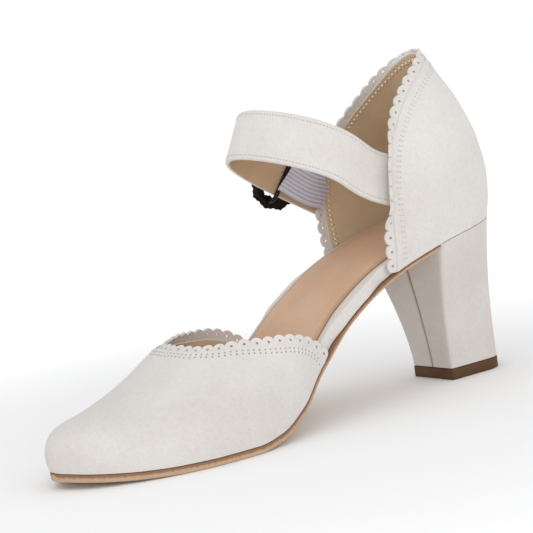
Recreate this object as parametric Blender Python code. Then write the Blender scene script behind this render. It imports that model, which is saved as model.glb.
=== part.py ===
"""Dirndl pump, right shoe: a closed vamp and a high closed heel part on a slim sole with an open waist,
a strap over the instep with an elastic and an ornate buckle, and a tapered block heel.

Metres, +Z up. +X runs from heel to toe, and +Y is the inner side of the foot.
The origin is the middle of the heel's tread, on the floor.
"""

import bmesh
import bpy
import numpy as np

MM = 0.001

# Sole and last
SHOE_LENGTH = 228 * MM
HEEL_HEIGHT = 69 * MM
TOE_SPRING = 3.5 * MM
BALL_WIDTH = 84 * MM
WAIST_WIDTH = 56 * MM
SEAT_WIDTH = 57 * MM
OUTSOLE_THICKNESS = 3.0 * MM
OUTSOLE_EDGE_ROUND = 0.7 * MM
INSOLE_THICKNESS = 5.0 * MM
INSOLE_EDGE_ROUND = 2.0 * MM
WAIST_EDGE = 0.5 * MM
SOCK_THICKNESS = 1.0 * MM
SOCK_MARGIN = 2.5 * MM
SOCK_EDGE_ROUND = 0.3 * MM
WAIST_MARGIN = 5.5 * MM
WAIST_CLEAR = 2 * MM
WAIST_BLEND = 8 * MM

# Upper
UPPER_WALL = 1.8 * MM
VAMP_HEIGHT = 40 * MM
VAMP_BULGE = 1.4 * MM
THROAT_SETBACK = 61 * MM
VAMP_SIDE_END = 109 * MM
QUARTER_HEIGHT = 74.5 * MM
QUARTER_REACH = 66.5 * MM
QUARTER_LEAN = 20 * MM
QUARTER_BULGE = 2.2 * MM
TRIM_THICKNESS = 1.2 * MM
TRIM_WIDTH = 4.8 * MM
SCALLOP_DEPTH = 1.6 * MM
SCALLOP_PITCH = 5.2 * MM
QUARTER_SCALLOP_PITCH = 6.0 * MM
SCALLOP_STEPS = 4
SCALLOP_POWER = 0.6

# Heel
BREAST_PLACE = 43.5 * MM
HEEL_BACK_PLACE = 1.0 * MM
HEEL_HOLLOW = 0.8 * MM
HEEL_BASE_DEPTH = 33 * MM
HEEL_BASE_WIDTH = 27 * MM
HEEL_BASE_ROUND = 11 * MM
HEEL_SLANT_POWER = 1.3
HEEL_TAPER_POWER = 1.7
TOP_PIECE_THICKNESS = 5.0 * MM

# Strap, elastic and buckle
STRAP_WIDTH = 22 * MM
STRAP_THICKNESS = 2.4 * MM
STRAP_EDGE = 0.5 * MM
STRAP_REACH = 106.5 * MM
STRAP_SPREAD = 38 * MM
STRAP_RISE = 119.5 * MM
STRAP_SLACK = 1.2 * MM
TAIL_ROUND = 9 * MM
ELASTIC_WIDTH = 17 * MM
ELASTIC_THICKNESS = 1.4 * MM
ELASTIC_SLACK = 0.5 * MM
BUCKLE_LENGTH = 26 * MM
BUCKLE_RIM = 5.0 * MM
BUCKLE_THICKNESS = 2.2 * MM
BUCKLE_SCROLL = 0.8 * MM
BUCKLE_LOBES = 12
BUCKLE_BAR = 2.0 * MM
BUCKLE_PLAY = 0.5 * MM
BUCKLE_BOW = 0.8 * MM
BUCKLE_CLEAR = 0.7 * MM
BUCKLE_SQUARE = 0.85
BAR_BEND_POWER = 16
PRONG_THICKNESS = 1.6 * MM
PRONG_TIP_SHARE = 0.7
PRONG_KNEE = 4 * MM
PRONG_HOLE = 3.0 * MM
PRONG_HOLE_LENGTH = 4.5 * MM
PRONG_HOLE_FORWARD = 1.3 * MM
PRONG_HOLE_SIDES = 12

# Clearance between pieces that touch on the real shoe
SEAM_GAP = 0.3 * MM
TRIM_GAP = 0.6 * MM
LAST_GAP = 0.45 * MM

# Points along and across each piece
OUTSOLE_STATIONS = 40
INSOLE_STATIONS = 46
SOCK_STATIONS = 36
VAMP_GRID = (20, 33)
QUARTER_GRID = (14, 33)
GRID_EASE = 1.6
EDGE_SAMPLES = 121
TOP_SAMPLES = 9
HEEL_GRID = (9, 33)
STRAP_SAMPLES = 50
ELASTIC_SAMPLES = 14
PRONG_SAMPLES = 14
BUCKLE_SAMPLES = 60
BAR_SAMPLES = 25

# Each row is one section of the last's bottom, from the back of the heel to the toe tip.
# station: share of SHOE_LENGTH. zone: the width that inner and outer are shares of.
# heel_rise: share of HEEL_HEIGHT. toe_rise: share of TOE_SPRING. sole: share of OUTSOLE_THICKNESS.
SOLE_COLUMNS = ("station", "zone", "inner", "outer", "heel_rise", "toe_rise", "sole")
SOLE_ROWS = (
    (0.000, "seat", 0.065, 0.065, 0.996, 0.00, 0.55),
    (0.006, "seat", 0.160, 0.160, 0.994, 0.00, 0.55),
    (0.020, "seat", 0.277, 0.277, 0.988, 0.00, 0.55),
    (0.065, "seat", 0.440, 0.440, 0.966, 0.00, 0.55),
    (0.120, "seat", 0.495, 0.500, 0.933, 0.00, 0.55),
    (0.200, "seat", 0.500, 0.520, 0.873, 0.00, 0.55),
    (0.300, "waist", 0.445, 0.565, 0.748, 0.00, 0.55),
    (0.400, "waist", 0.400, 0.595, 0.542, 0.00, 0.55),
    (0.480, "waist", 0.435, 0.610, 0.322, 0.00, 0.65),
    (0.560, "ball", 0.385, 0.445, 0.125, 0.00, 0.85),
    (0.630, "ball", 0.455, 0.494, 0.027, 0.00, 1.00),
    (0.690, "ball", 0.482, 0.510, 0.000, 0.00, 1.00),
    (0.760, "ball", 0.474, 0.490, 0.000, 0.00, 1.00),
    (0.830, "ball", 0.430, 0.425, 0.000, 0.04, 1.00),
    (0.890, "ball", 0.365, 0.318, 0.000, 0.22, 1.00),
    (0.935, "ball", 0.293, 0.208, 0.000, 0.48, 1.00),
    (0.968, "ball", 0.217, 0.110, 0.000, 0.73, 1.00),
    (0.988, "ball", 0.145, 0.035, 0.000, 0.90, 1.00),
    (0.997, "ball", 0.104, -0.008, 0.000, 0.97, 1.00),
    (1.000, "ball", 0.080, -0.035, 0.000, 1.00, 1.00),
)

# Crown of the vamp above the sole, from the toe tip back.
# setback: share of SHOE_LENGTH behind the tip. crown: share of VAMP_HEIGHT, its height at the throat.
CROWN_COLUMNS = ("setback", "crown")
CROWN_ROWS = (
    (0.000, 0.170),
    (0.002, 0.235),
    (0.0065, 0.300),
    (0.017, 0.375),
    (0.035, 0.440),
    (0.065, 0.490),
    (0.110, 0.545),
    (0.160, 0.628),
    (0.215, 0.757),
    (0.285, 1.000),
    (0.400, 1.280),
    (0.530, 1.520),
)

# Topline of the vamp on either side.
# climb: share of the way up the section, from the feather edge to the crown.
# forward: share of the way from VAMP_SIDE_END to the throat.
THROAT_COLUMNS = ("climb", "forward")
THROAT_ROWS = (
    (0.00, 0.00),
    (0.13, 0.12),
    (0.27, 0.28),
    (0.43, 0.51),
    (0.58, 0.72),
    (0.70, 0.88),
    (0.83, 0.97),
    (1.00, 1.00),
)

# Lean of the quarter's wall towards the foot.
# height: share of QUARTER_HEIGHT. bulge: share of QUARTER_BULGE, outwards.
# back and side: share of QUARTER_LEAN, inwards.
LEAN_COLUMNS = ("height", "bulge", "back", "side")
LEAN_ROWS = (
    (0.00, 0.00, 0.00, 0.00),
    (0.12, 0.75, 0.00, 0.00),
    (0.25, 1.00, 0.00, 0.00),
    (0.45, 0.80, 0.09, 0.05),
    (0.70, 0.36, 0.41, 0.24),
    (0.90, 0.05, 0.81, 0.55),
    (1.00, 0.00, 1.00, 0.74),
    (1.15, 0.00, 1.24, 0.98),
)

# Front edges of the quarter.
# height: share of QUARTER_HEIGHT. inner and outer: share of the wall's girth from the back of the heel
# to QUARTER_REACH.
EDGE_COLUMNS = ("height", "inner", "outer")
EDGE_ROWS = (
    (0.00, 1.00, 0.89),
    (0.20, 1.00, 0.90),
    (0.40, 0.985, 0.905),
    (0.55, 0.955, 0.88),
    (0.68, 0.895, 0.82),
    (0.78, 0.81, 0.715),
    (0.86, 0.69, 0.58),
    (0.93, 0.52, 0.415),
    (0.98, 0.28, 0.225),
    (1.00, 0.06, 0.06),
)

# Part of the strap that is sewn inside the inner side of the quarter.
# girth: share of the quarter's inner girth. height: share of QUARTER_HEIGHT.
SEWN_COLUMNS = ("girth", "height")
SEWN_ROWS = (
    (0.66, 0.320),
    (0.78, 0.385),
    (0.90, 0.465),
)

# Free part of the strap, over the instep to its tail.
# forward: share of STRAP_REACH. side: share of STRAP_SPREAD, above 0 on the inner side.
# height: share of STRAP_RISE. tilt: lean of the upper edge towards the leg, in degrees.
STRAP_COLUMNS = ("forward", "side", "height", "tilt")
STRAP_ROWS = (
    (0.657, 0.495, 0.819, 15),
    (0.741, 0.470, 0.878, 15),
    (0.837, 0.362, 0.934, 16),
    (0.920, 0.118, 0.976, 20),
    (0.976, -0.210, 1.003, 24),
    (0.995, -0.530, 1.009, 27),
    (0.955, -0.800, 0.986, 23),
    (0.870, -0.950, 0.942, 18),
    (0.765, -1.000, 0.884, 12),
    (0.650, -0.980, 0.820, 8),
    (0.535, -0.945, 0.757, 5),
    (0.430, -0.915, 0.699, 4),
)
BUCKLE_FORWARD = 0.685

# Part of the elastic that lies inside the outer side of the quarter.
# height: share of QUARTER_HEIGHT. ahead: share of TRIM_WIDTH ahead of the quarter's edge.
ELASTIC_COLUMNS = ("height", "ahead")
ELASTIC_ROWS = (
    (0.39, -0.52),
    (0.43, 0.00),
    (0.475, 1.00),
)

WIDTHS = {"seat": SEAT_WIDTH, "waist": WAIST_WIDTH, "ball": BALL_WIDTH}
OUTLINE_SAMPLES = 400
SIDES = {"inner": 1, "outer": -1}


def column(rows, columns, name):
    """One named column of a table, as an array."""
    place = columns.index(name)
    return np.array([row[place] for row in rows])


def ease_through(xs, ys, x):
    """Smooth curve through the points (xs, ys) that keeps level between equal neighbours.

    Each stretch is a cubic. The slope at a point is the weighted harmonic mean of its two
    neighbours' slopes, or nothing where the curve turns back.
    """
    xs, ys, x = (np.asarray(a, float) for a in (xs, ys, x))
    step = np.diff(xs)
    rise = np.diff(ys) / step
    left, right = rise[:-1], rise[1:]
    wide, near = 2 * step[1:] + step[:-1], step[1:] + 2 * step[:-1]
    same_way = left * right > 0
    safe_left, safe_right = np.where(same_way, left, 1.0), np.where(same_way, right, 1.0)
    mean = (wide + near) / (wide / safe_left + near / safe_right)
    slope = np.concatenate(([rise[0]], np.where(same_way, mean, 0.0), [rise[-1]]))
    cell = np.clip(np.searchsorted(xs, x, side="right") - 1, 0, len(step) - 1)
    t = (x - xs[cell]) / step[cell]
    start, end = ys[cell], ys[cell + 1]
    grow, leave = slope[cell] * step[cell], slope[cell + 1] * step[cell]
    return (
        start * (2 * t**3 - 3 * t**2 + 1)
        + grow * (t**3 - 2 * t**2 + t)
        + end * (3 * t**2 - 2 * t**3)
        + leave * (t**3 - t**2)
    )


def table_curve(rows, columns, key, name, x):
    """Smooth curve of the column name over the column key."""
    return ease_through(column(rows, columns, key), column(rows, columns, name), x)


def smooth_step(x):
    """0 below 0, 1 above 1, and an even rise between."""
    t = np.clip(x, 0, 1)
    return t * t * (3 - 2 * t)


def unit(vectors):
    """Vectors scaled to length one."""
    return vectors / np.linalg.norm(vectors, axis=-1, keepdims=True)


def sole_row_values(name):
    """A column of the sole's table in metres, measured on the size that it follows."""
    values = column(SOLE_ROWS, SOLE_COLUMNS, name)
    if name == "station":
        return values * SHOE_LENGTH
    zones = [WIDTHS[row[SOLE_COLUMNS.index("zone")]] for row in SOLE_ROWS]
    return values * np.array(zones)


def sole_rise(x):
    """Height of the outsole's underside above the floor at x."""
    heel = column(SOLE_ROWS, SOLE_COLUMNS, "heel_rise") * HEEL_HEIGHT
    toe = column(SOLE_ROWS, SOLE_COLUMNS, "toe_rise") * TOE_SPRING
    return ease_through(sole_row_values("station"), heel + toe, x)


def layer(x, above):
    """Height above the floor of a layer that lies above over the outsole, square to its slope."""
    probe = 0.2 * MM
    inside = np.clip(x, probe, SHOE_LENGTH - probe)
    slope = (sole_rise(inside + probe) - sole_rise(inside - probe)) / (2 * probe)
    share = ease_through(sole_row_values("station"), column(SOLE_ROWS, SOLE_COLUMNS, "sole"), x)
    return sole_rise(x) + (share * OUTSOLE_THICKNESS + above) * np.sqrt(1 + slope**2)


def outline_loop(inset):
    """The sole's plan outline moved inwards by inset: x, inner y and outer y at shared stations.

    Both sides are sampled row by row, moved along their own normal, and read again at shared x.
    """
    rows = np.arange(len(SOLE_ROWS))
    fine = np.linspace(0, len(SOLE_ROWS) - 1, OUTLINE_SAMPLES)
    x = ease_through(rows, sole_row_values("station"), fine)
    sides = []
    for name in SIDES:
        y = ease_through(rows, sole_row_values(name), fine)
        along_x, along_y = np.gradient(x), np.gradient(y)
        size = np.hypot(along_x, along_y)
        moved_x = x + inset * along_y / size
        moved_y = y - inset * along_x / size
        moved_x[0], moved_y[0] = x[0] + inset, y[0]
        moved_x[-1], moved_y[-1] = x[-1] - inset, y[-1]
        sides.append((moved_x, moved_y))
    (inner_x, inner_y), (outer_x, outer_y) = sides
    shared = inset + x * (SHOE_LENGTH - 2 * inset) / SHOE_LENGTH
    return shared, np.interp(shared, inner_x, inner_y), -np.interp(shared, outer_x, outer_y)


def outline_at(x, inset=0.0):
    """Inner and outer y of the outline, moved inwards by inset, at x."""
    shared, inner, outer = outline_loop(inset)
    return np.interp(x, shared, inner), np.interp(x, shared, outer)


def outline_stations(count, start, end):
    """Stations from start to end, closer together where the outline turns quickly."""
    rows = np.arange(len(SOLE_ROWS))
    fine = np.linspace(0, len(SOLE_ROWS) - 1, OUTLINE_SAMPLES)
    x = ease_through(rows, sole_row_values("station"), fine)
    first, last = np.interp([start, end], x, fine)
    stations = np.interp(np.linspace(first, last, count), fine, x)
    stations[0], stations[-1] = start, end
    return stations


def heel_middle():
    """The middle of the heel's tread along X, measured from the back of the seat."""
    return HEEL_BACK_PLACE + HEEL_BASE_DEPTH / 2


def make_material(name, colour, roughness, metallic=0.0):
    """A plain Principled material."""
    material = bpy.data.materials.new(name)
    material.use_nodes = True
    shader = material.node_tree.nodes["Principled BSDF"]
    shader.inputs["Base Color"].default_value = (*colour, 1.0)
    shader.inputs["Roughness"].default_value = roughness
    shader.inputs["Metallic"].default_value = metallic
    return material


def face_outwards(mesh):
    """Turns every face of a closed mesh to look outwards."""
    work = bmesh.new()
    work.from_mesh(mesh)
    bmesh.ops.recalc_face_normals(work, faces=work.faces)
    work.to_mesh(mesh)
    work.free()


def add_solid(name, points, faces, material, sharp_degrees=40.0):
    """One closed solid, moved to the shoe's origin and shaded smooth between sharp edges."""
    moved = np.asarray(points, float).reshape(-1, 3) - np.array([heel_middle(), 0.0, 0.0])
    mesh = bpy.data.meshes.new(name)
    mesh.from_pydata(moved.tolist(), [], [[int(k) for k in face] for face in faces])
    face_outwards(mesh)
    mesh.materials.append(material)
    mesh.shade_smooth()
    mesh.set_sharp_from_angle(angle=np.radians(sharp_degrees))
    solid = bpy.data.objects.new(name, mesh)
    bpy.context.scene.collection.objects.link(solid)
    return solid


def tube_faces(rings, size, closed_ends=True):
    """Faces of a tube of rings of size points each, with a cap on both ends if they are closed."""
    faces = []
    for ring in range(rings - 1):
        for k in range(size):
            a, b = ring * size + k, ring * size + (k + 1) % size
            faces.append((a, b, b + size, a + size))
    if closed_ends:
        faces.append(tuple(reversed(range(size))))
        faces.append(tuple(range((rings - 1) * size, rings * size)))
    return faces


def shell_faces(rows, cols):
    """Faces of a shell: an outer and an inner grid of rows by cols points, joined at all four edges."""
    faces = []

    def at(row, col, side):
        return (side * rows + row) * cols + col

    for r in range(rows - 1):
        for c in range(cols - 1):
            faces.append((at(r, c, 0), at(r, c + 1, 0), at(r + 1, c + 1, 0), at(r + 1, c, 0)))
            faces.append((at(r, c, 1), at(r + 1, c, 1), at(r + 1, c + 1, 1), at(r, c + 1, 1)))
    for row in (0, rows - 1):
        for c in range(cols - 1):
            faces.append((at(row, c, 0), at(row, c, 1), at(row, c + 1, 1), at(row, c + 1, 0)))
    for col in (0, cols - 1):
        for r in range(rows - 1):
            faces.append((at(r, col, 0), at(r + 1, col, 0), at(r + 1, col, 1), at(r, col, 1)))
    return faces


def slab(name, x, inner, outer, bottom, top, rounding, material):
    """A layer of the sole: at each station a flat slab section with rounded long edges.

    x, inner, outer, bottom and top are arrays over the stations. rounding is the edge's radius.
    """
    turns = np.radians([0, 90])
    rings = []
    for k in range(len(x)):
        half = (inner[k] - outer[k]) / 2
        r = min(rounding, half * 0.45, (top[k] - bottom[k]) * 0.45)
        ring = []
        for y_edge, sign in ((inner[k], 1), (outer[k], -1)):
            low = [(y_edge - sign * r * (1 - np.sin(t)), bottom[k] + r * (1 - np.cos(t))) for t in turns]
            high = [(y_edge - sign * r * (1 - np.cos(t)), top[k] - r * (1 - np.sin(t))) for t in turns]
            run = low + high
            ring += run if sign > 0 else run[::-1]
        rings.append([(x[k], y, z) for y, z in ring])
    size = len(rings[0])
    return add_solid(name, np.array(rings), tube_faces(len(rings), size), material)


def build_outsole(material):
    """Leather outsole from the heel's breast to the toe, with a flat tread under the ball."""
    x = outline_stations(OUTSOLE_STATIONS, BREAST_PLACE + SEAM_GAP, SHOE_LENGTH)
    inner, outer = outline_at(x)
    return slab("outsole", x, inner, outer, sole_rise(x), layer(x, 0.0), OUTSOLE_EDGE_ROUND, material)


def open_waist(x):
    """1 in the open waist between quarter and vamp, 0 where the upper stands, with soft ends."""
    clear = TRIM_WIDTH + WAIST_CLEAR
    from_quarter = smooth_step((x - QUARTER_REACH - clear) / WAIST_BLEND)
    from_vamp = smooth_step((VAMP_SIDE_END - clear - x) / WAIST_BLEND)
    return from_quarter * from_vamp


def blend_outline(x, closed_inset, open_inset):
    """Outline at x, moved inwards by closed_inset under the upper and open_inset in the waist."""
    closed, free = outline_at(x, closed_inset), outline_at(x, open_inset)
    share = open_waist(x)
    return tuple(closed[k] + (free[k] - closed[k]) * share for k in (0, 1))


def build_insole(material):
    """Insole board, wrapped in the upper's suede, whose edge shows along the open waist."""
    inset = UPPER_WALL + LAST_GAP
    x = outline_stations(INSOLE_STATIONS, inset, SHOE_LENGTH - inset)
    inner, outer = blend_outline(x, inset, WAIST_EDGE)
    return slab("insole", x, inner, outer, layer(x, SEAM_GAP), layer(x, SEAM_GAP + INSOLE_THICKNESS),
                INSOLE_EDGE_ROUND, material)


def build_sock(material):
    """Leather sock that covers the insole up to a narrow margin, wider on the inner side of the waist."""
    inset = UPPER_WALL + LAST_GAP + SOCK_MARGIN
    x = outline_stations(SOCK_STATIONS, inset, SHOE_LENGTH - inset)
    inner, outer = outline_at(x, inset)
    from_quarter = smooth_step((x - BREAST_PLACE) / (QUARTER_REACH + TRIM_WIDTH - BREAST_PLACE))
    throat = SHOE_LENGTH - THROAT_SETBACK
    from_vamp = smooth_step((throat - x) / (throat - VAMP_SIDE_END))
    inner = inner - (WAIST_EDGE + WAIST_MARGIN - inset) * from_quarter * from_vamp
    bottom = 2 * SEAM_GAP + INSOLE_THICKNESS
    return slab("sock_lining", x, inner, outer, layer(x, bottom), layer(x, bottom + SOCK_THICKNESS),
                SOCK_EDGE_ROUND, material)


def throat_station(turn):
    """Where the vamp's topline lies along X at a turn of its section."""
    throat = SHOE_LENGTH - THROAT_SETBACK
    climb = 1 - np.abs(turn / (np.pi / 2) - 1)
    forward = table_curve(THROAT_ROWS, THROAT_COLUMNS, "climb", "forward", climb)
    return VAMP_SIDE_END + (throat - VAMP_SIDE_END) * forward


def vamp_surface(x, turn, inset):
    """Point of the vamp's form, moved inwards by inset.

    The section at x is half an ellipse from the inner feather edge (turn 0) over the crown
    (turn pi / 2) to the outer feather edge (turn pi), pushed out along the outline's normal. The push
    across the foot fades again at the crown, and the push along it goes on over the crown.
    """
    end = SHOE_LENGTH - inset
    x = np.minimum(x, end)
    inner, outer = outline_at(x, inset)
    middle, half = (inner + outer) / 2, (inner - outer) / 2
    setback = (end - x) / SHOE_LENGTH
    crown = table_curve(CROWN_ROWS, CROWN_COLUMNS, "setback", "crown", setback) * VAMP_HEIGHT - inset
    probe = 0.4 * MM
    before, after = np.clip(x - probe, inset, end), np.clip(x + probe, inset, end)
    on_inner = np.cos(turn) >= 0
    behind, ahead = outline_at(before, inset), outline_at(after, inset)
    slopes = [(ahead[0] - behind[0]) / (after - before), (behind[1] - ahead[1]) / (after - before)]
    at_tip = x >= end - probe / 4
    normals_x = [np.where(at_tip, 1.0, -slope / np.hypot(1, slope)) for slope in slopes]
    share = (1 + np.cos(turn)) / 2
    normal_x = normals_x[0] * share + normals_x[1] * (1 - share)
    normal_y = np.where(at_tip, 0.0, 1 / np.hypot(1, np.where(on_inner, slopes[0], slopes[1])))
    swell = VAMP_BULGE * np.sin(2 * np.minimum(turn, np.pi - turn))
    forward = np.where(np.abs(turn - np.pi / 2) < np.pi / 4, VAMP_BULGE, swell)
    y = middle + half * np.cos(turn) + np.where(on_inner, 1, -1) * swell * normal_y
    z = layer(x, SEAM_GAP) + crown * np.sin(turn)
    return np.stack((x + forward * normal_x, y, z), axis=-1)


def vamp_grid(rows, cols, inset):
    """Grid of the vamp's form from the topline to the toe tip."""
    along = 1 - (1 - np.linspace(0, 1, rows)) ** GRID_EASE
    turn = np.linspace(0, np.pi, cols)
    start = throat_station(turn)
    end = SHOE_LENGTH - inset
    x = start[None, :] + (end - start)[None, :] * along[:, None]
    return vamp_surface(x, np.broadcast_to(turn, x.shape), inset)


def build_vamp(material):
    """Closed vamp: one hollow wall over the toes, open at the throat and underneath."""
    rows, cols = VAMP_GRID
    outer, inner = vamp_grid(rows, cols, 0.0), vamp_grid(rows, cols, UPPER_WALL)
    tip = [(rows - 1) * cols + c for c in range(cols)]
    size = rows * cols
    across = {frozenset((a, a + size)) for a in tip[1:-1]}
    faces = [face for face in shell_faces(rows, cols)
             if not any(frozenset(pair) in across for pair in zip(face, face[1:] + face[:1]))]
    faces += [tuple(tip), tuple(size + k for k in tip), (tip[0], size + tip[0], size + tip[-1], tip[-1])]
    return add_solid("vamp", np.concatenate((outer, inner)), faces, material)


def quarter_base(girth):
    """Plan point and outward normal of the heel's outline.

    girth is the distance along the outline from the back of the heel, above 0 on the inner side.
    """
    x, inner, outer = outline_loop(0.0)
    keep = x <= SHOE_LENGTH / 2
    run_x = np.concatenate((x[keep][::-1], x[keep]))
    run_y = np.concatenate((outer[keep][::-1], inner[keep]))
    lengths = np.concatenate(([0], np.cumsum(np.hypot(np.diff(run_x), np.diff(run_y)))))
    back = (lengths[keep.sum() - 1] + lengths[keep.sum()]) / 2
    place = back + girth
    probe = 2.0 * MM
    px, py = np.interp(place, lengths, run_x), np.interp(place, lengths, run_y)
    dx = np.interp(place + probe, lengths, run_x) - np.interp(place - probe, lengths, run_x)
    dy = np.interp(place + probe, lengths, run_y) - np.interp(place - probe, lengths, run_y)
    size = np.hypot(dx, dy)
    return px, py, -dy / size, dx / size


def girth_to(reach, side):
    """Distance along the outline from the back of the heel to x = reach on one side."""
    x, inner, outer = outline_loop(0.0)
    y = inner if side == "inner" else outer
    keep = x <= reach
    half_back = (inner[0] - outer[0]) / 2
    return half_back + np.hypot(np.diff(x[keep]), np.diff(y[keep])).sum()


def quarter_form(girth, height):
    """Outer face of the quarter at a girth from the back and a height above the sole.

    The heel's outline bulges along its normal, is drawn forward at the back and narrows to the top.
    """
    px, py, normal_x, normal_y = quarter_base(girth)
    up = height / QUARTER_HEIGHT
    bulge = QUARTER_BULGE * table_curve(LEAN_ROWS, LEAN_COLUMNS, "height", "bulge", up)
    back = QUARTER_LEAN * table_curve(LEAN_ROWS, LEAN_COLUMNS, "height", "back", up)
    side = QUARTER_LEAN * table_curve(LEAN_ROWS, LEAN_COLUMNS, "height", "side", up)
    plan_x, plan_y = px + bulge * normal_x, py + bulge * normal_y
    plan_x = plan_x + back * np.clip(1 - px / QUARTER_REACH, 0, 1) ** 2
    plan_y = plan_y * (1 - side / (SEAT_WIDTH / 2))
    return np.stack((plan_x, plan_y, layer(px, SEAM_GAP) + height), axis=-1)


def quarter_normal(girth, height):
    """Outward normal of the quarter's outer face, by small steps."""
    step = 0.5 * MM
    along = quarter_form(girth + step, height) - quarter_form(girth - step, height)
    up = quarter_form(girth, height + step) - quarter_form(girth, height - step)
    return unit(np.cross(up, along))


def quarter_surface(girth, height, inset=0.0):
    """Point of the quarter's form, moved inwards by inset along its own normal."""
    return quarter_form(girth, height) - inset * quarter_normal(girth, height)


def quarter_edge(height, side):
    """Signed girth of the quarter's front edge on one side at a height."""
    share = table_curve(EDGE_ROWS, EDGE_COLUMNS, "height", side, height / QUARTER_HEIGHT)
    return SIDES[side] * share * girth_to(QUARTER_REACH, side)


def quarter_grid(rows, cols, inset):
    """Grid of the quarter's form, each row level round the heel from edge to edge."""
    height = QUARTER_HEIGHT * (1 - (1 - np.linspace(0, 1, rows)) ** GRID_EASE)
    across = np.linspace(0, 1, cols)
    inner, outer = quarter_edge(height, "inner"), quarter_edge(height, "outer")
    girth = outer[:, None] + (inner - outer)[:, None] * across[None, :]
    return quarter_surface(girth, np.broadcast_to(height[:, None], girth.shape), inset)


def build_quarter(material):
    """High closed heel part: one wall round the heel, open to the front."""
    rows, cols = QUARTER_GRID
    outer, inner = quarter_grid(rows, cols, 0.0), quarter_grid(rows, cols, UPPER_WALL)
    return add_solid("quarter", np.concatenate((outer, inner)), shell_faces(rows, cols), material)


def heel_base_run(count):
    """Plan run of the heel's base, from the inner front edge round the back to the outer front edge."""
    front = HEEL_BACK_PLACE + HEEL_BASE_DEPTH
    half = HEEL_BASE_WIDTH / 2
    r = HEEL_BASE_ROUND
    turns = np.radians(np.linspace(0, 90, 12))
    corner_x = HEEL_BACK_PLACE + r - r * np.sin(turns)
    corner_y = half - r + r * np.cos(turns)
    run_x = np.concatenate(([front], corner_x, corner_x[::-1], [front]))
    run_y = np.concatenate(([half], corner_y, -corner_y[::-1], [-half]))
    lengths = np.concatenate(([0], np.cumsum(np.hypot(np.diff(run_x), np.diff(run_y)))))
    place = np.linspace(0, lengths[-1], count)
    return np.interp(place, lengths, run_x), np.interp(place, lengths, run_y)


def heel_seat_run(count):
    """Plan run of the heel's top, which follows the sole's outline back from the breast."""
    x, inner, outer = outline_loop(0.0)
    keep = x < BREAST_PLACE
    breast_inner, breast_outer = outline_at(BREAST_PLACE)
    run_x = np.concatenate(([BREAST_PLACE], x[keep][::-1], x[keep], [BREAST_PLACE]))
    run_y = np.concatenate(([breast_inner], inner[keep][::-1], outer[keep], [breast_outer]))
    lengths = np.concatenate(([0], np.cumsum(np.hypot(np.diff(run_x), np.diff(run_y)))))
    place = np.linspace(0, lengths[-1], count)
    return np.interp(place, lengths, run_x), np.interp(place, lengths, run_y)


def build_heel(material):
    """Block heel, covered like the upper: from the rounded seat it tapers and slants to its base."""
    rows, count = HEEL_GRID
    top_x, top_y = heel_seat_run(count)
    base_x, base_y = heel_base_run(count)
    top_z = layer(top_x, 0.0)
    base_z = TOP_PIECE_THICKNESS + SEAM_GAP
    rings = []
    for down in np.linspace(0, 1, rows):
        hollow = HEEL_HOLLOW * np.sin(np.pi * down) * np.clip(1 - top_x / BREAST_PLACE, 0, 1)
        x = top_x + (base_x - top_x) * (1 - (1 - down) ** HEEL_SLANT_POWER) + hollow
        y = top_y + (base_y - top_y) * (1 - (1 - down) ** HEEL_TAPER_POWER)
        z = top_z + (base_z - top_z) * down
        rings.append(np.stack((x, y, z), axis=-1))
    faces = tube_faces(rows, count, closed_ends=False)
    last = (rows - 1) * count
    for k in range(count // 2):
        mirror = count - 1 - k
        low = (k, mirror, mirror - 1, k + 1) if k + 1 < mirror - 1 else (k, mirror, k + 1)
        faces += [low, tuple(last + m for m in low)]
    return add_solid("heel", np.concatenate(rings), faces, material)


def build_top_piece(material):
    """Hard-wearing top piece under the heel, flat on the floor."""
    x, y = heel_base_run(HEEL_GRID[1])
    rings = [np.stack((x, y, np.full(len(x), z)), axis=-1) for z in (0.0, TOP_PIECE_THICKNESS)]
    return add_solid("heel_top_piece", np.concatenate(rings), tube_faces(2, len(x)), material)


def spline_through(points, values, count):
    """Smooth values along a chain of points, read at count evenly spaced places.

    The curve is a cubic from point to point over the chain's length, with no bend at its two ends.
    """
    points, values = np.asarray(points, float), np.asarray(values, float)
    knots = np.concatenate(([0], np.cumsum(np.linalg.norm(np.diff(points, axis=0), axis=1))))
    step = np.diff(knots)
    size = len(points)
    system, bends = np.eye(size), np.zeros_like(values)
    for k in range(1, size - 1):
        system[k, k - 1 : k + 2] = step[k - 1], 2 * (step[k - 1] + step[k]), step[k]
        ahead = (values[k + 1] - values[k]) / step[k]
        behind = (values[k] - values[k - 1]) / step[k - 1]
        bends[k] = 6 * (ahead - behind)
    bends = np.linalg.solve(system, bends)
    place = np.linspace(0, knots[-1], count)
    cell = np.clip(np.searchsorted(knots, place, side="right") - 1, 0, size - 2)
    h = step[cell][:, None]
    b = (place - knots[cell])[:, None] / h
    a = 1 - b
    return (a * values[cell] + b * values[cell + 1]
            + ((a**3 - a) * bends[cell] + (b**3 - b) * bends[cell + 1]) * h**2 / 6)


def band_frame(path, outward):
    """A band's outward face normal and the direction of its width, upwards."""
    along = unit(np.gradient(path, axis=0))
    width = unit(np.cross(outward, along))
    width *= np.sign(width[:, 2:])
    face = np.cross(along, width)
    face *= np.sign(np.sum(face * outward, axis=1, keepdims=True))
    return face, width


def band_solid(name, path, face, width, half_width, thickness, material):
    """Flat band along a path: sections with cut corners, at right angles to the path."""
    half = thickness / 2
    cut = min(STRAP_EDGE, half * 0.6)
    rings = []
    for k in range(len(path)):
        w = half_width[k]
        corners = [(half, w - cut), (half - cut, w), (cut - half, w), (-half, w - cut),
                   (-half, cut - w), (cut - half, -w), (half - cut, -w), (half, cut - w)]
        rings.append([path[k] + face[k] * out + width[k] * up for out, up in corners])
    return add_solid(name, np.array(rings), tube_faces(len(rings), 8), material)


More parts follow.
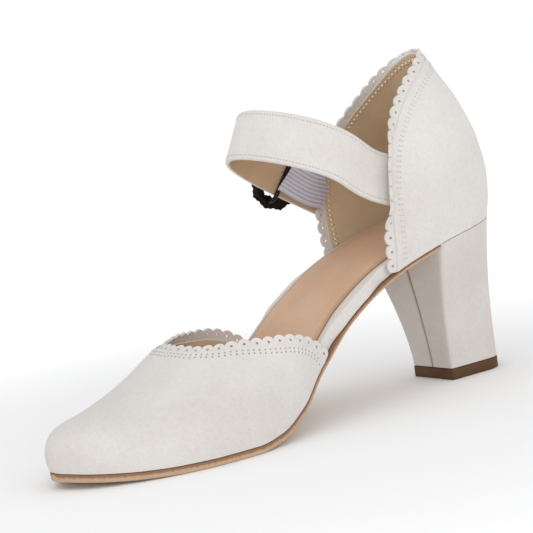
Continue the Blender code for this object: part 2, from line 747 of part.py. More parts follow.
def strap_path():
    """Middle line of the strap with its outward face normals and its width directions."""
    girth = column(SEWN_ROWS, SEWN_COLUMNS, "girth") * girth_to(QUARTER_REACH, "inner")
    height = column(SEWN_ROWS, SEWN_COLUMNS, "height") * QUARTER_HEIGHT
    inset = UPPER_WALL + SEAM_GAP + STRAP_SLACK + STRAP_THICKNESS / 2
    sewn = quarter_surface(girth, height, inset)
    sewn_out = quarter_normal(girth, height)
    free = np.stack((column(STRAP_ROWS, STRAP_COLUMNS, "forward") * STRAP_REACH,
                     column(STRAP_ROWS, STRAP_COLUMNS, "side") * STRAP_SPREAD,
                     column(STRAP_ROWS, STRAP_COLUMNS, "height") * STRAP_RISE), axis=-1)
    along = np.gradient(np.concatenate((sewn[-1:], free)), axis=0)[1:]
    level_out = unit(np.stack((-along[:, 1], along[:, 0], 0 * along[:, 0]), axis=-1))
    level_out *= np.sign(np.sum(level_out * np.array([1, 0, 0]), axis=1, keepdims=True))
    level_out[-4:] *= np.sign(-level_out[-4:, 1:2])
    tilt = np.radians(column(STRAP_ROWS, STRAP_COLUMNS, "tilt"))[:, None]
    free_out = level_out * np.cos(tilt) + np.array([0, 0, 1]) * np.sin(tilt)
    points = np.concatenate((sewn, free))
    path = spline_through(points, points, STRAP_SAMPLES)
    outward = spline_through(points, np.concatenate((sewn_out, free_out)), STRAP_SAMPLES)
    face, width = band_frame(path, unit(outward))
    return path, face, width


def build_strap(material):
    """Strap with a rounded tail, sewn inside the quarter's inner side."""
    path, face, width = strap_path()
    left = np.concatenate((np.cumsum(np.linalg.norm(np.diff(path[::-1], axis=0), axis=1))[::-1], [0]))
    round_off = np.clip(1 - left / TAIL_ROUND, 0, 0.97)
    half_width = STRAP_WIDTH / 2 * np.sqrt(1 - round_off**2)
    strap = band_solid("strap", path, face, width, half_width, STRAP_THICKNESS, material)
    at = strap_place(BUCKLE_FORWARD, path)
    ends = path[at] + np.outer([-STRAP_THICKNESS, STRAP_THICKNESS], face[at])
    along = unit(np.cross(width[at], face[at]))
    turns = np.linspace(0, 2 * np.pi, PRONG_HOLE_SIDES, endpoint=False)
    hole = np.stack([ends + along * (PRONG_HOLE_FORWARD + PRONG_HOLE_LENGTH / 2 * np.cos(t))
                     + width[at] * (PRONG_HOLE / 2 * np.sin(t)) for t in turns], axis=1)
    punch = add_solid("strap_punch", hole, tube_faces(len(ends), PRONG_HOLE_SIDES), material)
    cut = strap.modifiers.new("prong_hole", "BOOLEAN")
    cut.object = punch
    punch.hide_render = True
    punch.display_type = "WIRE"
    return strap


def edge_trim(name, edge, surface_out, away, pitch, material):
    """Scalloped strip that rises from the middle of a wall's edge, in the wall's own direction.

    edge is the middle line of the wall's edge, surface_out the wall's outward normals along it, and
    away a direction that points off the wall at each point.
    """
    lengths = np.concatenate(([0], np.cumsum(np.linalg.norm(np.diff(edge, axis=0), axis=1))))
    lobes = max(1, round(lengths[-1] / pitch))
    steps = lobes * SCALLOP_STEPS + 1
    place = np.linspace(0, lengths[-1], steps)

    def read(values):
        return np.stack([np.interp(place, lengths, values[:, k]) for k in range(3)], axis=-1)

    line, out, off = read(edge), unit(read(surface_out)), read(away)
    along = unit(np.gradient(line, axis=0))
    rise = unit(np.cross(along, out))
    rise *= np.sign(np.sum(rise * off, axis=1, keepdims=True))
    lobe = np.abs(np.sin(np.pi * np.arange(steps) / SCALLOP_STEPS)) ** SCALLOP_POWER
    tip = (TRIM_WIDTH - SCALLOP_DEPTH * (1 - lobe))[:, None]
    half = TRIM_THICKNESS / 2
    rings = np.stack([line + rise * w + out * t for w, t in
                      ((TRIM_GAP, half), (tip, half), (tip, -half), (TRIM_GAP, -half))], axis=1)
    return add_solid(name, rings, tube_faces(steps, 4), material)


def build_vamp_trim(material):
    """Scalloped trim along the vamp's topline."""
    turn = np.linspace(0, np.pi, EDGE_SAMPLES)
    middle = UPPER_WALL / 2
    x = throat_station(turn)
    edge = vamp_surface(x, turn, middle)
    probe = np.radians(0.5)
    low, high = np.clip(turn - probe, 0, np.pi), np.clip(turn + probe, 0, np.pi)
    around = vamp_surface(x, high, middle) - vamp_surface(x, low, middle)
    along = vamp_surface(x + 1 * MM, turn, middle) - vamp_surface(x - 1 * MM, turn, middle)
    out = unit(np.cross(along, around))
    core = np.array([0, 0, 1]) * layer(x, 0.0)[:, None] + np.stack((x, 0 * x, 0 * x), axis=-1)
    out *= np.sign(np.sum(out * (edge - core), axis=1, keepdims=True))
    return edge_trim("vamp_trim", edge, out, -along, SCALLOP_PITCH, material)


def quarter_edge_line():
    """Girth and height along the quarter's edge, from the outer foot over the top to the inner foot."""
    climb = QUARTER_HEIGHT * (1 - (1 - np.linspace(0, 1, EDGE_SAMPLES)) ** GRID_EASE)
    outer, inner = quarter_edge(climb, "outer"), quarter_edge(climb, "inner")
    top = np.linspace(outer[-1], inner[-1], TOP_SAMPLES)[1:-1]
    girth = np.concatenate((outer, top, inner[::-1]))
    height = np.concatenate((climb, np.full(len(top), QUARTER_HEIGHT), climb[::-1]))
    return girth, height


def build_quarter_trim(material):
    """Scalloped trim along the quarter's front edges and over its top."""
    middle = UPPER_WALL / 2
    girth, height = quarter_edge_line()
    edge = quarter_surface(girth, height, middle)
    out = quarter_normal(girth, height)
    away = quarter_surface(girth + np.sign(girth) * 1 * MM, height + 1 * MM, middle) - edge
    return edge_trim("quarter_trim", edge, out, away, QUARTER_SCALLOP_PITCH, material)


def strap_place(forward, path):
    """Row of the path where the strap's outer half passes forward, a share of STRAP_REACH."""
    outer_half = np.arange(len(path)) > np.argmax(path[:, 0])
    return int(np.argmin(np.where(outer_half, np.abs(path[:, 0] - forward * STRAP_REACH), 1.0)))


def build_elastic(material):
    """Short elastic from the inside of the quarter's outer edge to the buckle's bar."""
    path, face, width = strap_path()
    at = strap_place(BUCKLE_FORWARD, path)
    inside = UPPER_WALL + SEAM_GAP + ELASTIC_SLACK + ELASTIC_THICKNESS / 2
    height = column(ELASTIC_ROWS, ELASTIC_COLUMNS, "height") * QUARTER_HEIGHT
    ahead = column(ELASTIC_ROWS, ELASTIC_COLUMNS, "ahead") * TRIM_WIDTH
    girth = quarter_edge(height, "outer") - ahead
    sewn = quarter_surface(girth, height, inside)
    to_bar = STRAP_THICKNESS / 2 + 2 * SEAM_GAP + BUCKLE_BAR + ELASTIC_THICKNESS / 2
    bar = path[at] - face[at] * to_bar
    sewn_out = quarter_normal(girth, height)
    points = np.concatenate((sewn, [bar]))
    line = spline_through(points, points, ELASTIC_SAMPLES)
    outward = spline_through(points, np.concatenate((sewn_out, [face[at]])), ELASTIC_SAMPLES)
    out, up = band_frame(line, unit(outward))
    half_width = np.full(ELASTIC_SAMPLES, ELASTIC_WIDTH / 2)
    return band_solid("elastic", line, out, up, half_width, ELASTIC_THICKNESS, material)


def ring_section(path, along, out, width, thickness):
    """Rings of a bar with rounded corners along a path; width lies across path and out."""
    across = unit(np.cross(out, along))
    turns = np.radians([22.5, 67.5, 112.5, 157.5, 202.5, 247.5, 292.5, 337.5])
    return np.stack([path + across * (width[:, None] / 2) * np.cos(t) * 1.08
                     + out * (thickness / 2) * np.sin(t) * 1.08 for t in turns], axis=1)


def build_buckle(material):
    """Ornate buckle: a lobed ring over the strap, its centre bar under the strap, and the prong."""
    path, face, width = strap_path()
    at = strap_place(BUCKLE_FORWARD, path)
    centre, out, up = path[at], face[at], width[at]
    along = unit(np.cross(up, out))
    half_long = (BUCKLE_LENGTH - BUCKLE_RIM) / 2
    half_wide = STRAP_WIDTH / 2 + BUCKLE_CLEAR + SEAM_GAP + BUCKLE_RIM / 2
    turns = np.linspace(0, 2 * np.pi, BUCKLE_SAMPLES, endpoint=False)
    lift = STRAP_THICKNESS / 2 + SEAM_GAP + BUCKLE_THICKNESS / 2 + BUCKLE_PLAY
    c, q = np.cos(turns), np.sin(turns)
    ring = (centre + np.outer(np.sign(c) * np.abs(c) ** BUCKLE_SQUARE * half_long, along)
            + np.outer(np.sign(q) * np.abs(q) ** BUCKLE_SQUARE * half_wide, up)
            + np.outer(lift - BUCKLE_BOW * c**2, out))
    ring_along = unit(np.roll(ring, -1, axis=0) - np.roll(ring, 1, axis=0))
    rim = BUCKLE_RIM + BUCKLE_SCROLL * np.cos(BUCKLE_LOBES * turns)
    rings = ring_section(ring, ring_along, np.broadcast_to(out, ring.shape), rim, BUCKLE_THICKNESS)
    size = rings.shape[1]
    faces = tube_faces(len(rings), size, closed_ends=False)
    last = (len(rings) - 1) * size
    faces += [(last + k, last + (k + 1) % size, (k + 1) % size, k) for k in range(size)]
    frame = add_solid("buckle_frame", rings, faces, material)
    bar_drop = STRAP_THICKNESS / 2 + SEAM_GAP + BUCKLE_BAR / 2
    reach = np.sin(np.linspace(-np.pi / 2, np.pi / 2, BAR_SAMPLES))
    climb = np.abs(reach) ** BAR_BEND_POWER
    bar_line = centre + np.outer(reach * half_wide, up) + np.outer((lift + bar_drop) * climb - bar_drop, out)
    bar_along = unit(np.gradient(bar_line, axis=0))
    bar_out = unit(out - bar_along * (bar_along @ out)[:, None])
    bar = ring_section(bar_line, bar_along, bar_out, np.full(BAR_SAMPLES, BUCKLE_BAR), BUCKLE_BAR)
    rod = add_solid("buckle_bar", bar, tube_faces(BAR_SAMPLES, size), material)
    join = frame.modifiers.new("join_bar", "BOOLEAN")
    join.operation = "UNION"
    join.object = rod
    rod.hide_render = True
    rod.display_type = "WIRE"
    start = centre - out * (STRAP_THICKNESS / 2 - SEAM_GAP) + along * PRONG_THICKNESS / 2
    rest = lift - BUCKLE_BOW + BUCKLE_THICKNESS / 2 + SEAM_GAP + PRONG_THICKNESS / 2
    knee = centre + along * PRONG_KNEE + out * (STRAP_THICKNESS / 2 + SEAM_GAP + PRONG_THICKNESS)
    tip = centre + along * (half_long + BUCKLE_RIM / 2) + out * rest
    mid = centre + along * (half_long - BUCKLE_RIM) + out * rest
    points = [start, knee, mid, tip]
    line = spline_through(points, points, PRONG_SAMPLES)
    prong_along = unit(np.gradient(line, axis=0))
    side = np.broadcast_to(up, line.shape)
    thick = PRONG_THICKNESS * np.linspace(1, PRONG_TIP_SHARE, PRONG_SAMPLES)
    prong = ring_section(line, prong_along, unit(np.cross(prong_along, side)), thick, PRONG_THICKNESS)
    add_solid("buckle_prong", prong, tube_faces(PRONG_SAMPLES, size), material)


def clear_scene():
    """Removes what the file opened with."""
    for item in list(bpy.data.objects):
        bpy.data.objects.remove(item)


def main():
    clear_scene()
    suede = make_material("ivory_suede", (0.80, 0.77, 0.72), 0.9)
    sole_leather = make_material("sole_leather", (0.62, 0.42, 0.27), 0.6)
    sock_leather = make_material("sock_leather", (0.68, 0.47, 0.32), 0.5)
    top_rubber = make_material("top_piece_rubber", (0.10, 0.06, 0.04), 0.6)
    elastic_web = make_material("elastic_web", (0.58, 0.55, 0.57), 0.8)
    antique_silver = make_material("antique_silver", (0.22, 0.21, 0.20), 0.4, 1.0)
    build_outsole(sole_leather)
    build_insole(suede)
    build_sock(sock_leather)
    build_vamp(suede)
    build_quarter(suede)
    build_heel(suede)
    build_top_piece(top_rubber)
    build_vamp_trim(suede)
    build_quarter_trim(suede)
    build_strap(suede)
    build_elastic(elastic_web)
    build_buckle(antique_silver)


main()
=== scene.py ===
import bmesh
import bpy
import numpy as np
from mathutils import Matrix, Vector


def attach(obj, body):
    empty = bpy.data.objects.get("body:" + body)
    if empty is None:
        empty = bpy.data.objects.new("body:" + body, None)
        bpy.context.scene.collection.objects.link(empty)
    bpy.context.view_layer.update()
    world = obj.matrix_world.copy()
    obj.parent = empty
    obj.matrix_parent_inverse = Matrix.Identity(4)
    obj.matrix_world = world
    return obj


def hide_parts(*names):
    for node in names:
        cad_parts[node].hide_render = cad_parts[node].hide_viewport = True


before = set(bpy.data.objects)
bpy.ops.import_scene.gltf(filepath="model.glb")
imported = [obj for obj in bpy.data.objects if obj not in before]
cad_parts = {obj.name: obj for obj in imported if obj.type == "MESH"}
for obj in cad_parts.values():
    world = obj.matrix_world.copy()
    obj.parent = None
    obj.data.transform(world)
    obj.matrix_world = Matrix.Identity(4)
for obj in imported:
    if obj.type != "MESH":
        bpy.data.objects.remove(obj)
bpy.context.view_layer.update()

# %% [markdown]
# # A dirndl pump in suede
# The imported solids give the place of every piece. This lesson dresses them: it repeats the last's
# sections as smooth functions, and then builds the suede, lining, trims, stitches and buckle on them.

MM = 0.001

# %% [markdown]
# ## Camera
# The camera stands in front of the toe, on the inner side, a little above the strap. It is rolled, as
# the photograph is, and aimed at the middle of the shoe. A constraint could aim it, but a matrix
# that is worked out once stays put.

# %% Camera
AZIMUTH, ELEVATION, ROLL = np.radians([142.6, 5.3, -7.9])
CAMERA_PLACE = np.array([0.4668, 0.5527, 0.1376])
# The photograph's focal length, its side and the aim are in its own pixels.
PHOTO_FOCUS, PHOTO_SIDE = 1091.0, 533.0
AIM_RIGHT, AIM_DOWN = -66.0, 26.0
ZOOM, SENSOR = 1.47, 36.0


def unit(vectors):
    """Vectors scaled to length one."""
    return vectors / np.linalg.norm(vectors, axis=-1, keepdims=True)


def aim_camera():
    """Camera looking from CAMERA_PLACE through one point of the photograph.

    back, right and up are the photograph's own axes. The new view axis runs through the point that
    lies AIM_RIGHT and AIM_DOWN of its middle, and right stays as level as it was.
    """
    back = np.array([np.sin(AZIMUTH) * np.cos(ELEVATION), -np.cos(AZIMUTH) * np.cos(ELEVATION),
                     np.sin(ELEVATION)])
    right = np.array([np.cos(AZIMUTH), np.sin(AZIMUTH), 0.0])
    up = np.cross(back, right)
    right, up = np.cos(ROLL) * right + np.sin(ROLL) * up, np.cos(ROLL) * up - np.sin(ROLL) * right
    new_back = unit(back * PHOTO_FOCUS - right * AIM_RIGHT + up * AIM_DOWN)
    new_right = unit(right - new_back * (right @ new_back))
    new_up = np.cross(new_back, new_right)
    data = bpy.data.cameras.new("camera")
    data.sensor_width = SENSOR
    data.lens = PHOTO_FOCUS * ZOOM * SENSOR / PHOTO_SIDE
    data.clip_start, data.clip_end = 0.02, 50.0
    camera = bpy.data.objects.new("camera", data)
    turn = Matrix(np.stack((new_right, new_up, new_back), axis=1).tolist())
    camera.matrix_world = Matrix.Translation(CAMERA_PLACE.tolist()) @ turn.to_4x4()
    bpy.context.scene.collection.objects.link(camera)
    bpy.context.scene.camera = camera
    return camera


camera = aim_camera()
place = [round(v, 3) for v in camera.location]
print("camera at", place, "lens", round(camera.data.lens, 1), "mm")

# %% [markdown]
# ## Light and floor
# A pale floor under an even white sky, with soft lights in front of the toe, above it and beside the
# heel. A studio picture round the scene could light it too, but three area lights are easy to move.

# %% Light and floor
SKY = 0.81
WHITE = (1.0, 1.0, 1.0, 1.0)
GLOW_START, GLOW_END = 0.12, 0.42
LIGHTS = (
    # name, place, target, size, power, colour
    ("key", (0.75, 0.05, 0.85), (0.08, 0.0, 0.06), 0.7, 1.1, (1.0, 0.99, 0.98)),
    ("fill", (0.0, 1.1, 0.45), (0.08, 0.0, 0.06), 0.9, 1.9, (0.99, 0.995, 1.0)),
    ("front", (0.65, 0.8, 0.13), (0.05, 0.0, 0.03), 0.6, 1.9, (1.0, 0.99, 0.99)),
)


def linear(red, green, blue):
    """Linear colour of an eye-matched display colour from 0 to 255."""
    value = np.array([red, green, blue]) / 255
    low, high = value / 12.92, ((value + 0.055) / 1.055) ** 2.4
    return (*np.where(value <= 0.04045, low, high).tolist(), 1.0)


def area_light(name, place, target, size, power, colour):
    """Square soft light at place, facing target."""
    data = bpy.data.lights.new(name, "AREA")
    data.size, data.energy, data.color = size, power, colour
    light = bpy.data.objects.new(name, data)
    light.location = place
    light.rotation_euler = (Vector(target) - Vector(place)).to_track_quat("-Z", "Y").to_euler()
    bpy.context.scene.collection.objects.link(light)


def white_sky(seen, shed):
    """Even sky: it looks as bright as seen, and lights the shoe with shed."""
    world = bpy.data.worlds.new("sky")
    world.use_nodes = True
    nodes, links = world.node_tree.nodes, world.node_tree.links
    path = nodes.new("ShaderNodeLightPath")
    blend = nodes.new("ShaderNodeMapRange")
    blend.inputs["To Min"].default_value = shed
    blend.inputs["To Max"].default_value = seen
    links.new(path.outputs["Is Camera Ray"], blend.inputs["Value"])
    links.new(blend.outputs["Result"], nodes["Background"].inputs["Strength"])
    nodes["Background"].inputs["Color"].default_value = WHITE
    bpy.context.scene.world = world


def make_floor(side):
    """Flat pale floor. Further than GLOW_START from the shoe it glows, to meet the white sky."""
    mesh = bpy.data.meshes.new("floor")
    h = side / 2
    mesh.from_pydata([(-h, -h, 0), (h, -h, 0), (h, h, 0), (-h, h, 0)], [], [(0, 1, 2, 3)])
    floor = bpy.data.objects.new("floor", mesh)
    bpy.context.scene.collection.objects.link(floor)
    material = bpy.data.materials.new("floor_paper")
    material.use_nodes = True
    nodes, links = material.node_tree.nodes, material.node_tree.links
    shader = nodes["Principled BSDF"]
    shader.inputs["Base Color"].default_value = (0.955, 0.96, 0.965, 1.0)
    shader.inputs["Roughness"].default_value = 0.9
    shader.inputs["Specular IOR Level"].default_value = 0.1
    kinds = ("TexCoord", "VectorMath", "MapRange")
    place, distance, fade = (nodes.new("ShaderNode" + kind) for kind in kinds)
    distance.operation = "DISTANCE"
    distance.inputs[1].default_value = (0.10, 0.0, 0.0)
    fade.interpolation_type = "SMOOTHSTEP"
    fade.inputs["From Min"].default_value = GLOW_START
    fade.inputs["From Max"].default_value = GLOW_END
    fade.inputs["To Max"].default_value = 1.02 - 0.95 * SKY
    links.new(place.outputs["Object"], distance.inputs[0])
    links.new(distance.outputs["Value"], fade.inputs["Value"])
    links.new(fade.outputs["Result"], shader.inputs["Emission Strength"])
    shader.inputs["Emission Color"].default_value = WHITE
    mesh.materials.append(material)
    return floor


white_sky(1.0, SKY)
for light in LIGHTS:
    area_light(*light)
make_floor(60.0)
bpy.context.scene.view_settings.view_transform = "Standard"
print(len(LIGHTS), "lights and a floor stand")

# %% [markdown]
# ## Materials
# Each one is built from noise in the object's own metres, so its grain keeps its true scale. A picture
# of leather would be quicker, but it would stretch over the curved pieces. Some surfaces carry a mark
# from 0 to 1 at each point, which the material reads to paint shade along a sole's top edge, in a
# heel's seam and between an elastic's ribs, and to darken a buckle's hollows.

# %% Node helpers
def start_material(name, roughness, metallic=0.0):
    """A Principled material with its node tree and its shader."""
    material = bpy.data.materials.new(name)
    material.use_nodes = True
    tree = material.node_tree
    shader = tree.nodes["Principled BSDF"]
    shader.inputs["Roughness"].default_value = roughness
    shader.inputs["Metallic"].default_value = metallic
    return material, tree, shader


def add_noise(tree, scale, detail=3.0, kind="ShaderNodeTexNoise"):
    """Noise or cells in object metres. scale is about how many grains fit in a metre."""
    place = tree.nodes.new("ShaderNodeTexCoord")
    node = tree.nodes.new(kind)
    node.inputs["Scale"].default_value = scale
    node.inputs["Detail"].default_value = detail
    tree.links.new(place.outputs["Object"], node.inputs["Vector"])
    return node.outputs["Fac" if kind == "ShaderNodeTexNoise" else "Distance"]


def add_ramp(tree, value, stops):
    """Colour from a value through (position, colour) stops."""
    ramp = tree.nodes.new("ShaderNodeValToRGB").color_ramp
    node = tree.nodes[-1]
    while len(ramp.elements) < len(stops):
        ramp.elements.new(0.5)
    for element, (position, colour) in zip(ramp.elements, stops):
        element.position, element.color = position, colour
    tree.links.new(value, node.inputs["Fac"])
    return node.outputs["Color"]


def add_mix(tree, factor, first, second, kind="MIX"):
    """Two colours mixed, or multiplied, by a share from 0 to 1."""
    node = tree.nodes.new("ShaderNodeMix")
    node.data_type, node.blend_type = "RGBA", kind
    for place, value in (("Factor", factor), (6, first), (7, second)):
        socket = node.inputs[place]
        if isinstance(value, bpy.types.NodeSocket):
            tree.links.new(value, socket)
        else:
            socket.default_value = value
    return node.outputs[2]


def add_bump(tree, shader, heights):
    """Stacked bumps: each height is (value, strength, depth in metres)."""
    last = None
    for value, strength, depth in heights:
        node = tree.nodes.new("ShaderNodeBump")
        node.inputs["Strength"].default_value = strength
        node.inputs["Distance"].default_value = depth
        tree.links.new(value, node.inputs["Height"])
        if last:
            tree.links.new(last, node.inputs["Normal"])
        last = node.outputs["Normal"]
    tree.links.new(last, shader.inputs["Normal"])


def add_mark(tree):
    """The mark that a piece carries at each point."""
    node = tree.nodes.new("ShaderNodeAttribute")
    node.attribute_name = "mark"
    return node.outputs["Fac"]


def add_to_mark(tree, value, share):
    """The mark with a share of a value added."""
    node = tree.nodes.new("ShaderNodeMath")
    node.operation = "MULTIPLY_ADD"
    tree.links.new(value, node.inputs[0])
    node.inputs[1].default_value = share
    tree.links.new(add_mark(tree), node.inputs[2])
    return node.outputs[0]


def add_flecks(tree, colour, value, share, low, high, shade):
    """A share of shade multiplied in where value is under low, fading out to high."""
    flecks = add_ramp(tree, value, [(low, (*shade, 1)), (high, WHITE)])
    return add_mix(tree, share, colour, flecks, "MULTIPLY")


# %% [markdown]
# ## Suede
# Suede is hide with its fibres raised: matt, softly patched where it was brushed, with a little sheen
# at its edges. Hairs could be grown, but the nap is finer than a pixel, so colour and bump do.

# %% Suede
def suede(name, light, deep, seam=None):
    """Patches of two close shades, a fine nap and grain, a soft sheen. seam is the painted shade's
    colour at mark 1, in a seam's groove.
    """
    material, tree, shader = start_material(name, 0.93)
    patch = add_noise(tree, 30, 4.0)
    grain = add_noise(tree, 1500, 2.0)
    nap = add_noise(tree, 520, 3.0)
    colour = add_ramp(tree, patch, [(0.28, deep), (0.70, light)])
    colour = add_flecks(tree, colour, nap, 0.5, 0.34, 0.60, (0.93, 0.925, 0.915))
    colour = add_flecks(tree, colour, grain, 0.5, 0.38, 0.58, (0.91, 0.905, 0.90))
    if seam:
        colour = add_mix(tree, add_mark(tree), colour, seam)
    tree.links.new(colour, shader.inputs["Base Color"])
    shader.inputs["Specular IOR Level"].default_value = 0.15
    shader.inputs["Sheen Weight"].default_value = 0.18
    shader.inputs["Sheen Roughness"].default_value = 0.45
    add_bump(tree, shader, [(nap, 0.20, 0.0003), (grain, 0.25, 0.00012)])
    return material


# %% [markdown]
# ## Smooth leathers
# Lining and sock are smooth hides with a fine pebble. The sole's cut edge shows fibre, and a ragged
# dark line of painted shade under the suede. Thread, rubber and the painted shade of needle holes are
# so small that the same grain serves them.

# %% Smooth leathers
def smooth_leather(name, light, deep, roughness, grain_scale, rim=None):
    """Fine pebbled grain with a faint mottle. rim is the colour where the piece's mark is 1."""
    material, tree, shader = start_material(name, roughness)
    patch = add_noise(tree, 40, 4.0)
    pebble = add_noise(tree, grain_scale, 0.0, "ShaderNodeTexVoronoi")
    colour = add_ramp(tree, patch, [(0.32, deep), (0.66, light)])
    pores = add_noise(tree, grain_scale, 2.0)
    colour = add_flecks(tree, colour, pores, 0.8, 0.35, 0.6, (0.94, 0.93, 0.92))
    if rim:
        colour = add_mix(tree, add_mark(tree), colour, rim)
    tree.links.new(colour, shader.inputs["Base Color"])
    shader.inputs["Specular IOR Level"].default_value = 0.35
    add_bump(tree, shader, [(pebble, 0.25, 0.00012), (add_noise(tree, 260), 0.12, 0.0003)])
    return material


def edge_leather(name, low, high, line):
    """Sole leather: pale below, with a ragged dark line of painted shade along its top, where the upper
    is turned under.
    """
    material, tree, shader = start_material(name, 0.62)
    ragged = add_to_mark(tree, add_noise(tree, 700, 3.0), 0.42)
    edge = add_ramp(tree, ragged, [(0.0, low), (0.70, high), (0.92, line), (1.0, line)])
    fibre = add_noise(tree, 900, 4.0)
    colour = add_flecks(tree, edge, fibre, 0.8, 0.3, 0.7, (0.84, 0.81, 0.77))
    tree.links.new(colour, shader.inputs["Base Color"])
    add_bump(tree, shader, [(add_noise(tree, 1100, 3.0), 0.25, 0.0002)])
    return material


# %% [markdown]
# ## Ribbed web and old silver
# The web's ribs carry painted light on their crests and painted shade between them and on its edges.
# The silver's relief is worn bright on its crests and dark in its hollows. The renderer could look for
# hollows, but a mark that is made with the shape is sharper and stays with the mesh.

# %% Ribbed web and old silver
def marked(name, low, high, roughness, metallic, grain_scale, grain_depth):
    """Two shades by the piece's mark, with a fine grain: worn crests and dark hollows on old metal,
    painted light and shade on ribbed web.
    """
    material, tree, shader = start_material(name, roughness, metallic)
    mottled = add_to_mark(tree, add_noise(tree, grain_scale / 6, 3.0), 0.35)
    colour = add_ramp(tree, mottled, [(0.25, low), (1.0, high)])
    tree.links.new(colour, shader.inputs["Base Color"])
    add_bump(tree, shader, [(add_noise(tree, grain_scale, 3.0), 0.3, grain_depth)])
    return material


# %% [markdown]
# ## Palette
# Every finish of the shoe in one place, in display colours. Each leather has a light and a deep shade
# that lie close together, because leather is never one flat colour. The elastic's two colours are
# painted light and painted shade for its ribs, and the heel's suede is the ivory painted darker for
# shade.

# %% Palette
IVORY = suede("ivory_suede", linear(221, 218, 214), linear(211, 206, 202))
# The heel's suede is the ivory painted a shade darker, as painted shade for the heel. Its third colour
# is painted shade in the seam's groove.
SHADED_HEEL_SUEDE = suede("heel_suede", linear(216, 211, 207), linear(206, 199, 194), linear(138, 124, 114))
SOCK = smooth_leather("sock_leather", linear(212, 177, 148), linear(203, 166, 135), 0.5, 900,
                      linear(150, 112, 82))
# The sole's line colour is painted shade along its top edge, under the upper and the insole.
SOLE = edge_leather("sole_leather", linear(194, 170, 146), linear(194, 161, 130), linear(142, 103, 75))
# The elastic's low and high colours are painted shade and painted light, for its ribs' valleys and
# crests.
ELASTIC = marked("elastic_web", linear(150, 147, 160), linear(200, 199, 209), 0.7, 0.0, 2600, 0.00008)
SILVER = marked("antique_silver", linear(40, 32, 27), linear(140, 128, 116), 0.36, 0.9, 1500, 0.00006)
# The needle holes and punched holes are painted shade: dark flat ovals where a hole would be in shade.
LINING, STRAP_LINING, RUBBER, THREAD, CREAM, PIT_SHADE, PALE_PIT_SHADE, TAN_PIT_SHADE, HOLE_SHADE = (
    smooth_leather(name, linear(*light), linear(*deep), roughness, grain_scale)
    for name, light, deep, roughness, grain_scale in (
        ("lining_leather", (216, 195, 166), (203, 180, 150), 0.6, 1300),
        ("strap_lining_leather", (198, 169, 138), (188, 158, 127), 0.6, 1300),
        ("top_piece_rubber", (96, 66, 38), (78, 52, 28), 0.65, 500),
        ("thread", (226, 221, 214), (216, 209, 202), 0.8, 2500),
        ("cream_thread", (240, 226, 198), (230, 214, 184), 0.8, 2500),
        ("needle_hole", (150, 140, 132), (134, 124, 116), 0.9, 2500),
        ("shallow_needle_hole", (184, 175, 168), (172, 163, 156), 0.9, 2500),
        ("lining_needle_hole", (144, 118, 90), (128, 103, 77), 0.9, 2500),
        ("punched_hole", (62, 52, 45), (48, 40, 34), 0.9, 2500),
    )
)
print("materials:", len(bpy.data.materials))

# %% [markdown]
# ## Meshes from grids
# Every piece is one or more grids of points, computed as whole arrays. A grid may wrap round, and a
# stack of equal grids makes the copies of a scallop or a stitch. Extruding and bevelling by hand could
# give the same forms, but a formula stays tied to the shoe's sizes.

# %% Meshes from grids
def grid_quads(rows, cols, wrap_rows, wrap_cols):
    """Four corner numbers of each cell of a grid that is numbered row by row."""
    index = np.arange(rows * cols).reshape(rows, cols)
    if wrap_cols:
        index = np.concatenate((index, index[:, :1]), axis=1)
    if wrap_rows:
        index = np.concatenate((index, index[:1]), axis=0)
    corners = (index[:-1, :-1], index[:-1, 1:], index[1:, 1:], index[1:, :-1])
    return np.stack(corners, axis=-1).reshape(-1, 4)


def block(points, slot=0, mark=0.0, wrap_rows=False, wrap_cols=False):
    """A grid of points, or a stack of grids, with its quads, material slot and marks."""
    rows, cols = points.shape[-3:-1]
    copies = points.reshape(-1, rows, cols, 3)
    shift = rows * cols * np.arange(len(copies))
    quads = grid_quads(rows, cols, wrap_rows, wrap_cols)[None] + shift[:, None, None]
    marks = np.broadcast_to(mark, copies.shape[:3]).ravel()
    return copies.reshape(-1, 3), quads.reshape(-1, 4), slot, marks


def tube(rings, mark=0.0):
    """A tube of rings, closed by a ring drawn together at the middle of each end."""
    first, last = (np.broadcast_to(rings[k].mean(axis=0), rings[k].shape)[None] for k in (0, -1))
    mark = np.broadcast_to(mark, rings.shape[:2])
    mark = np.concatenate((mark[:1], mark, mark[-1:]))
    return block(np.concatenate((first, rings, last)), 0, mark, wrap_cols=True)


def add_piece(name, blocks, materials, nodes=(), sharp=50.0, merge=1e-6):
    """A piece made of blocks, with its materials. It rides on the shoe and stands for nodes."""
    counts = np.cumsum([0] + [len(b[0]) for b in blocks])
    points = np.concatenate([b[0] for b in blocks])
    quads = np.concatenate([b[1] + start for b, start in zip(blocks, counts)])
    slots = np.concatenate([np.full(len(b[1]), b[2]) for b in blocks])
    marks = np.concatenate([b[3] for b in blocks])
    mesh = bpy.data.meshes.new(name)
    mesh.from_pydata(points.tolist(), [], quads.tolist())
    mesh.polygons.foreach_set("material_index", slots.astype(np.int32))
    mesh.attributes.new("mark", "FLOAT", "POINT").data.foreach_set("value", marks.astype(np.float32))
    for material in materials:
        mesh.materials.append(material)
    work = bmesh.new()
    work.from_mesh(mesh)
    if merge:
        bmesh.ops.remove_doubles(work, verts=work.verts, dist=merge)
    bmesh.ops.recalc_face_normals(work, faces=work.faces)
    work.to_mesh(mesh)
    work.free()
    mesh.shade_smooth()
    mesh.set_sharp_from_angle(angle=np.radians(sharp))
    piece = bpy.data.objects.new(name, mesh)
    bpy.context.scene.collection.objects.link(piece)
    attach(piece, "root")
    if nodes:
        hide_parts(*nodes)
    print(f"{name}: {len(mesh.polygons)} faces")
    return piece


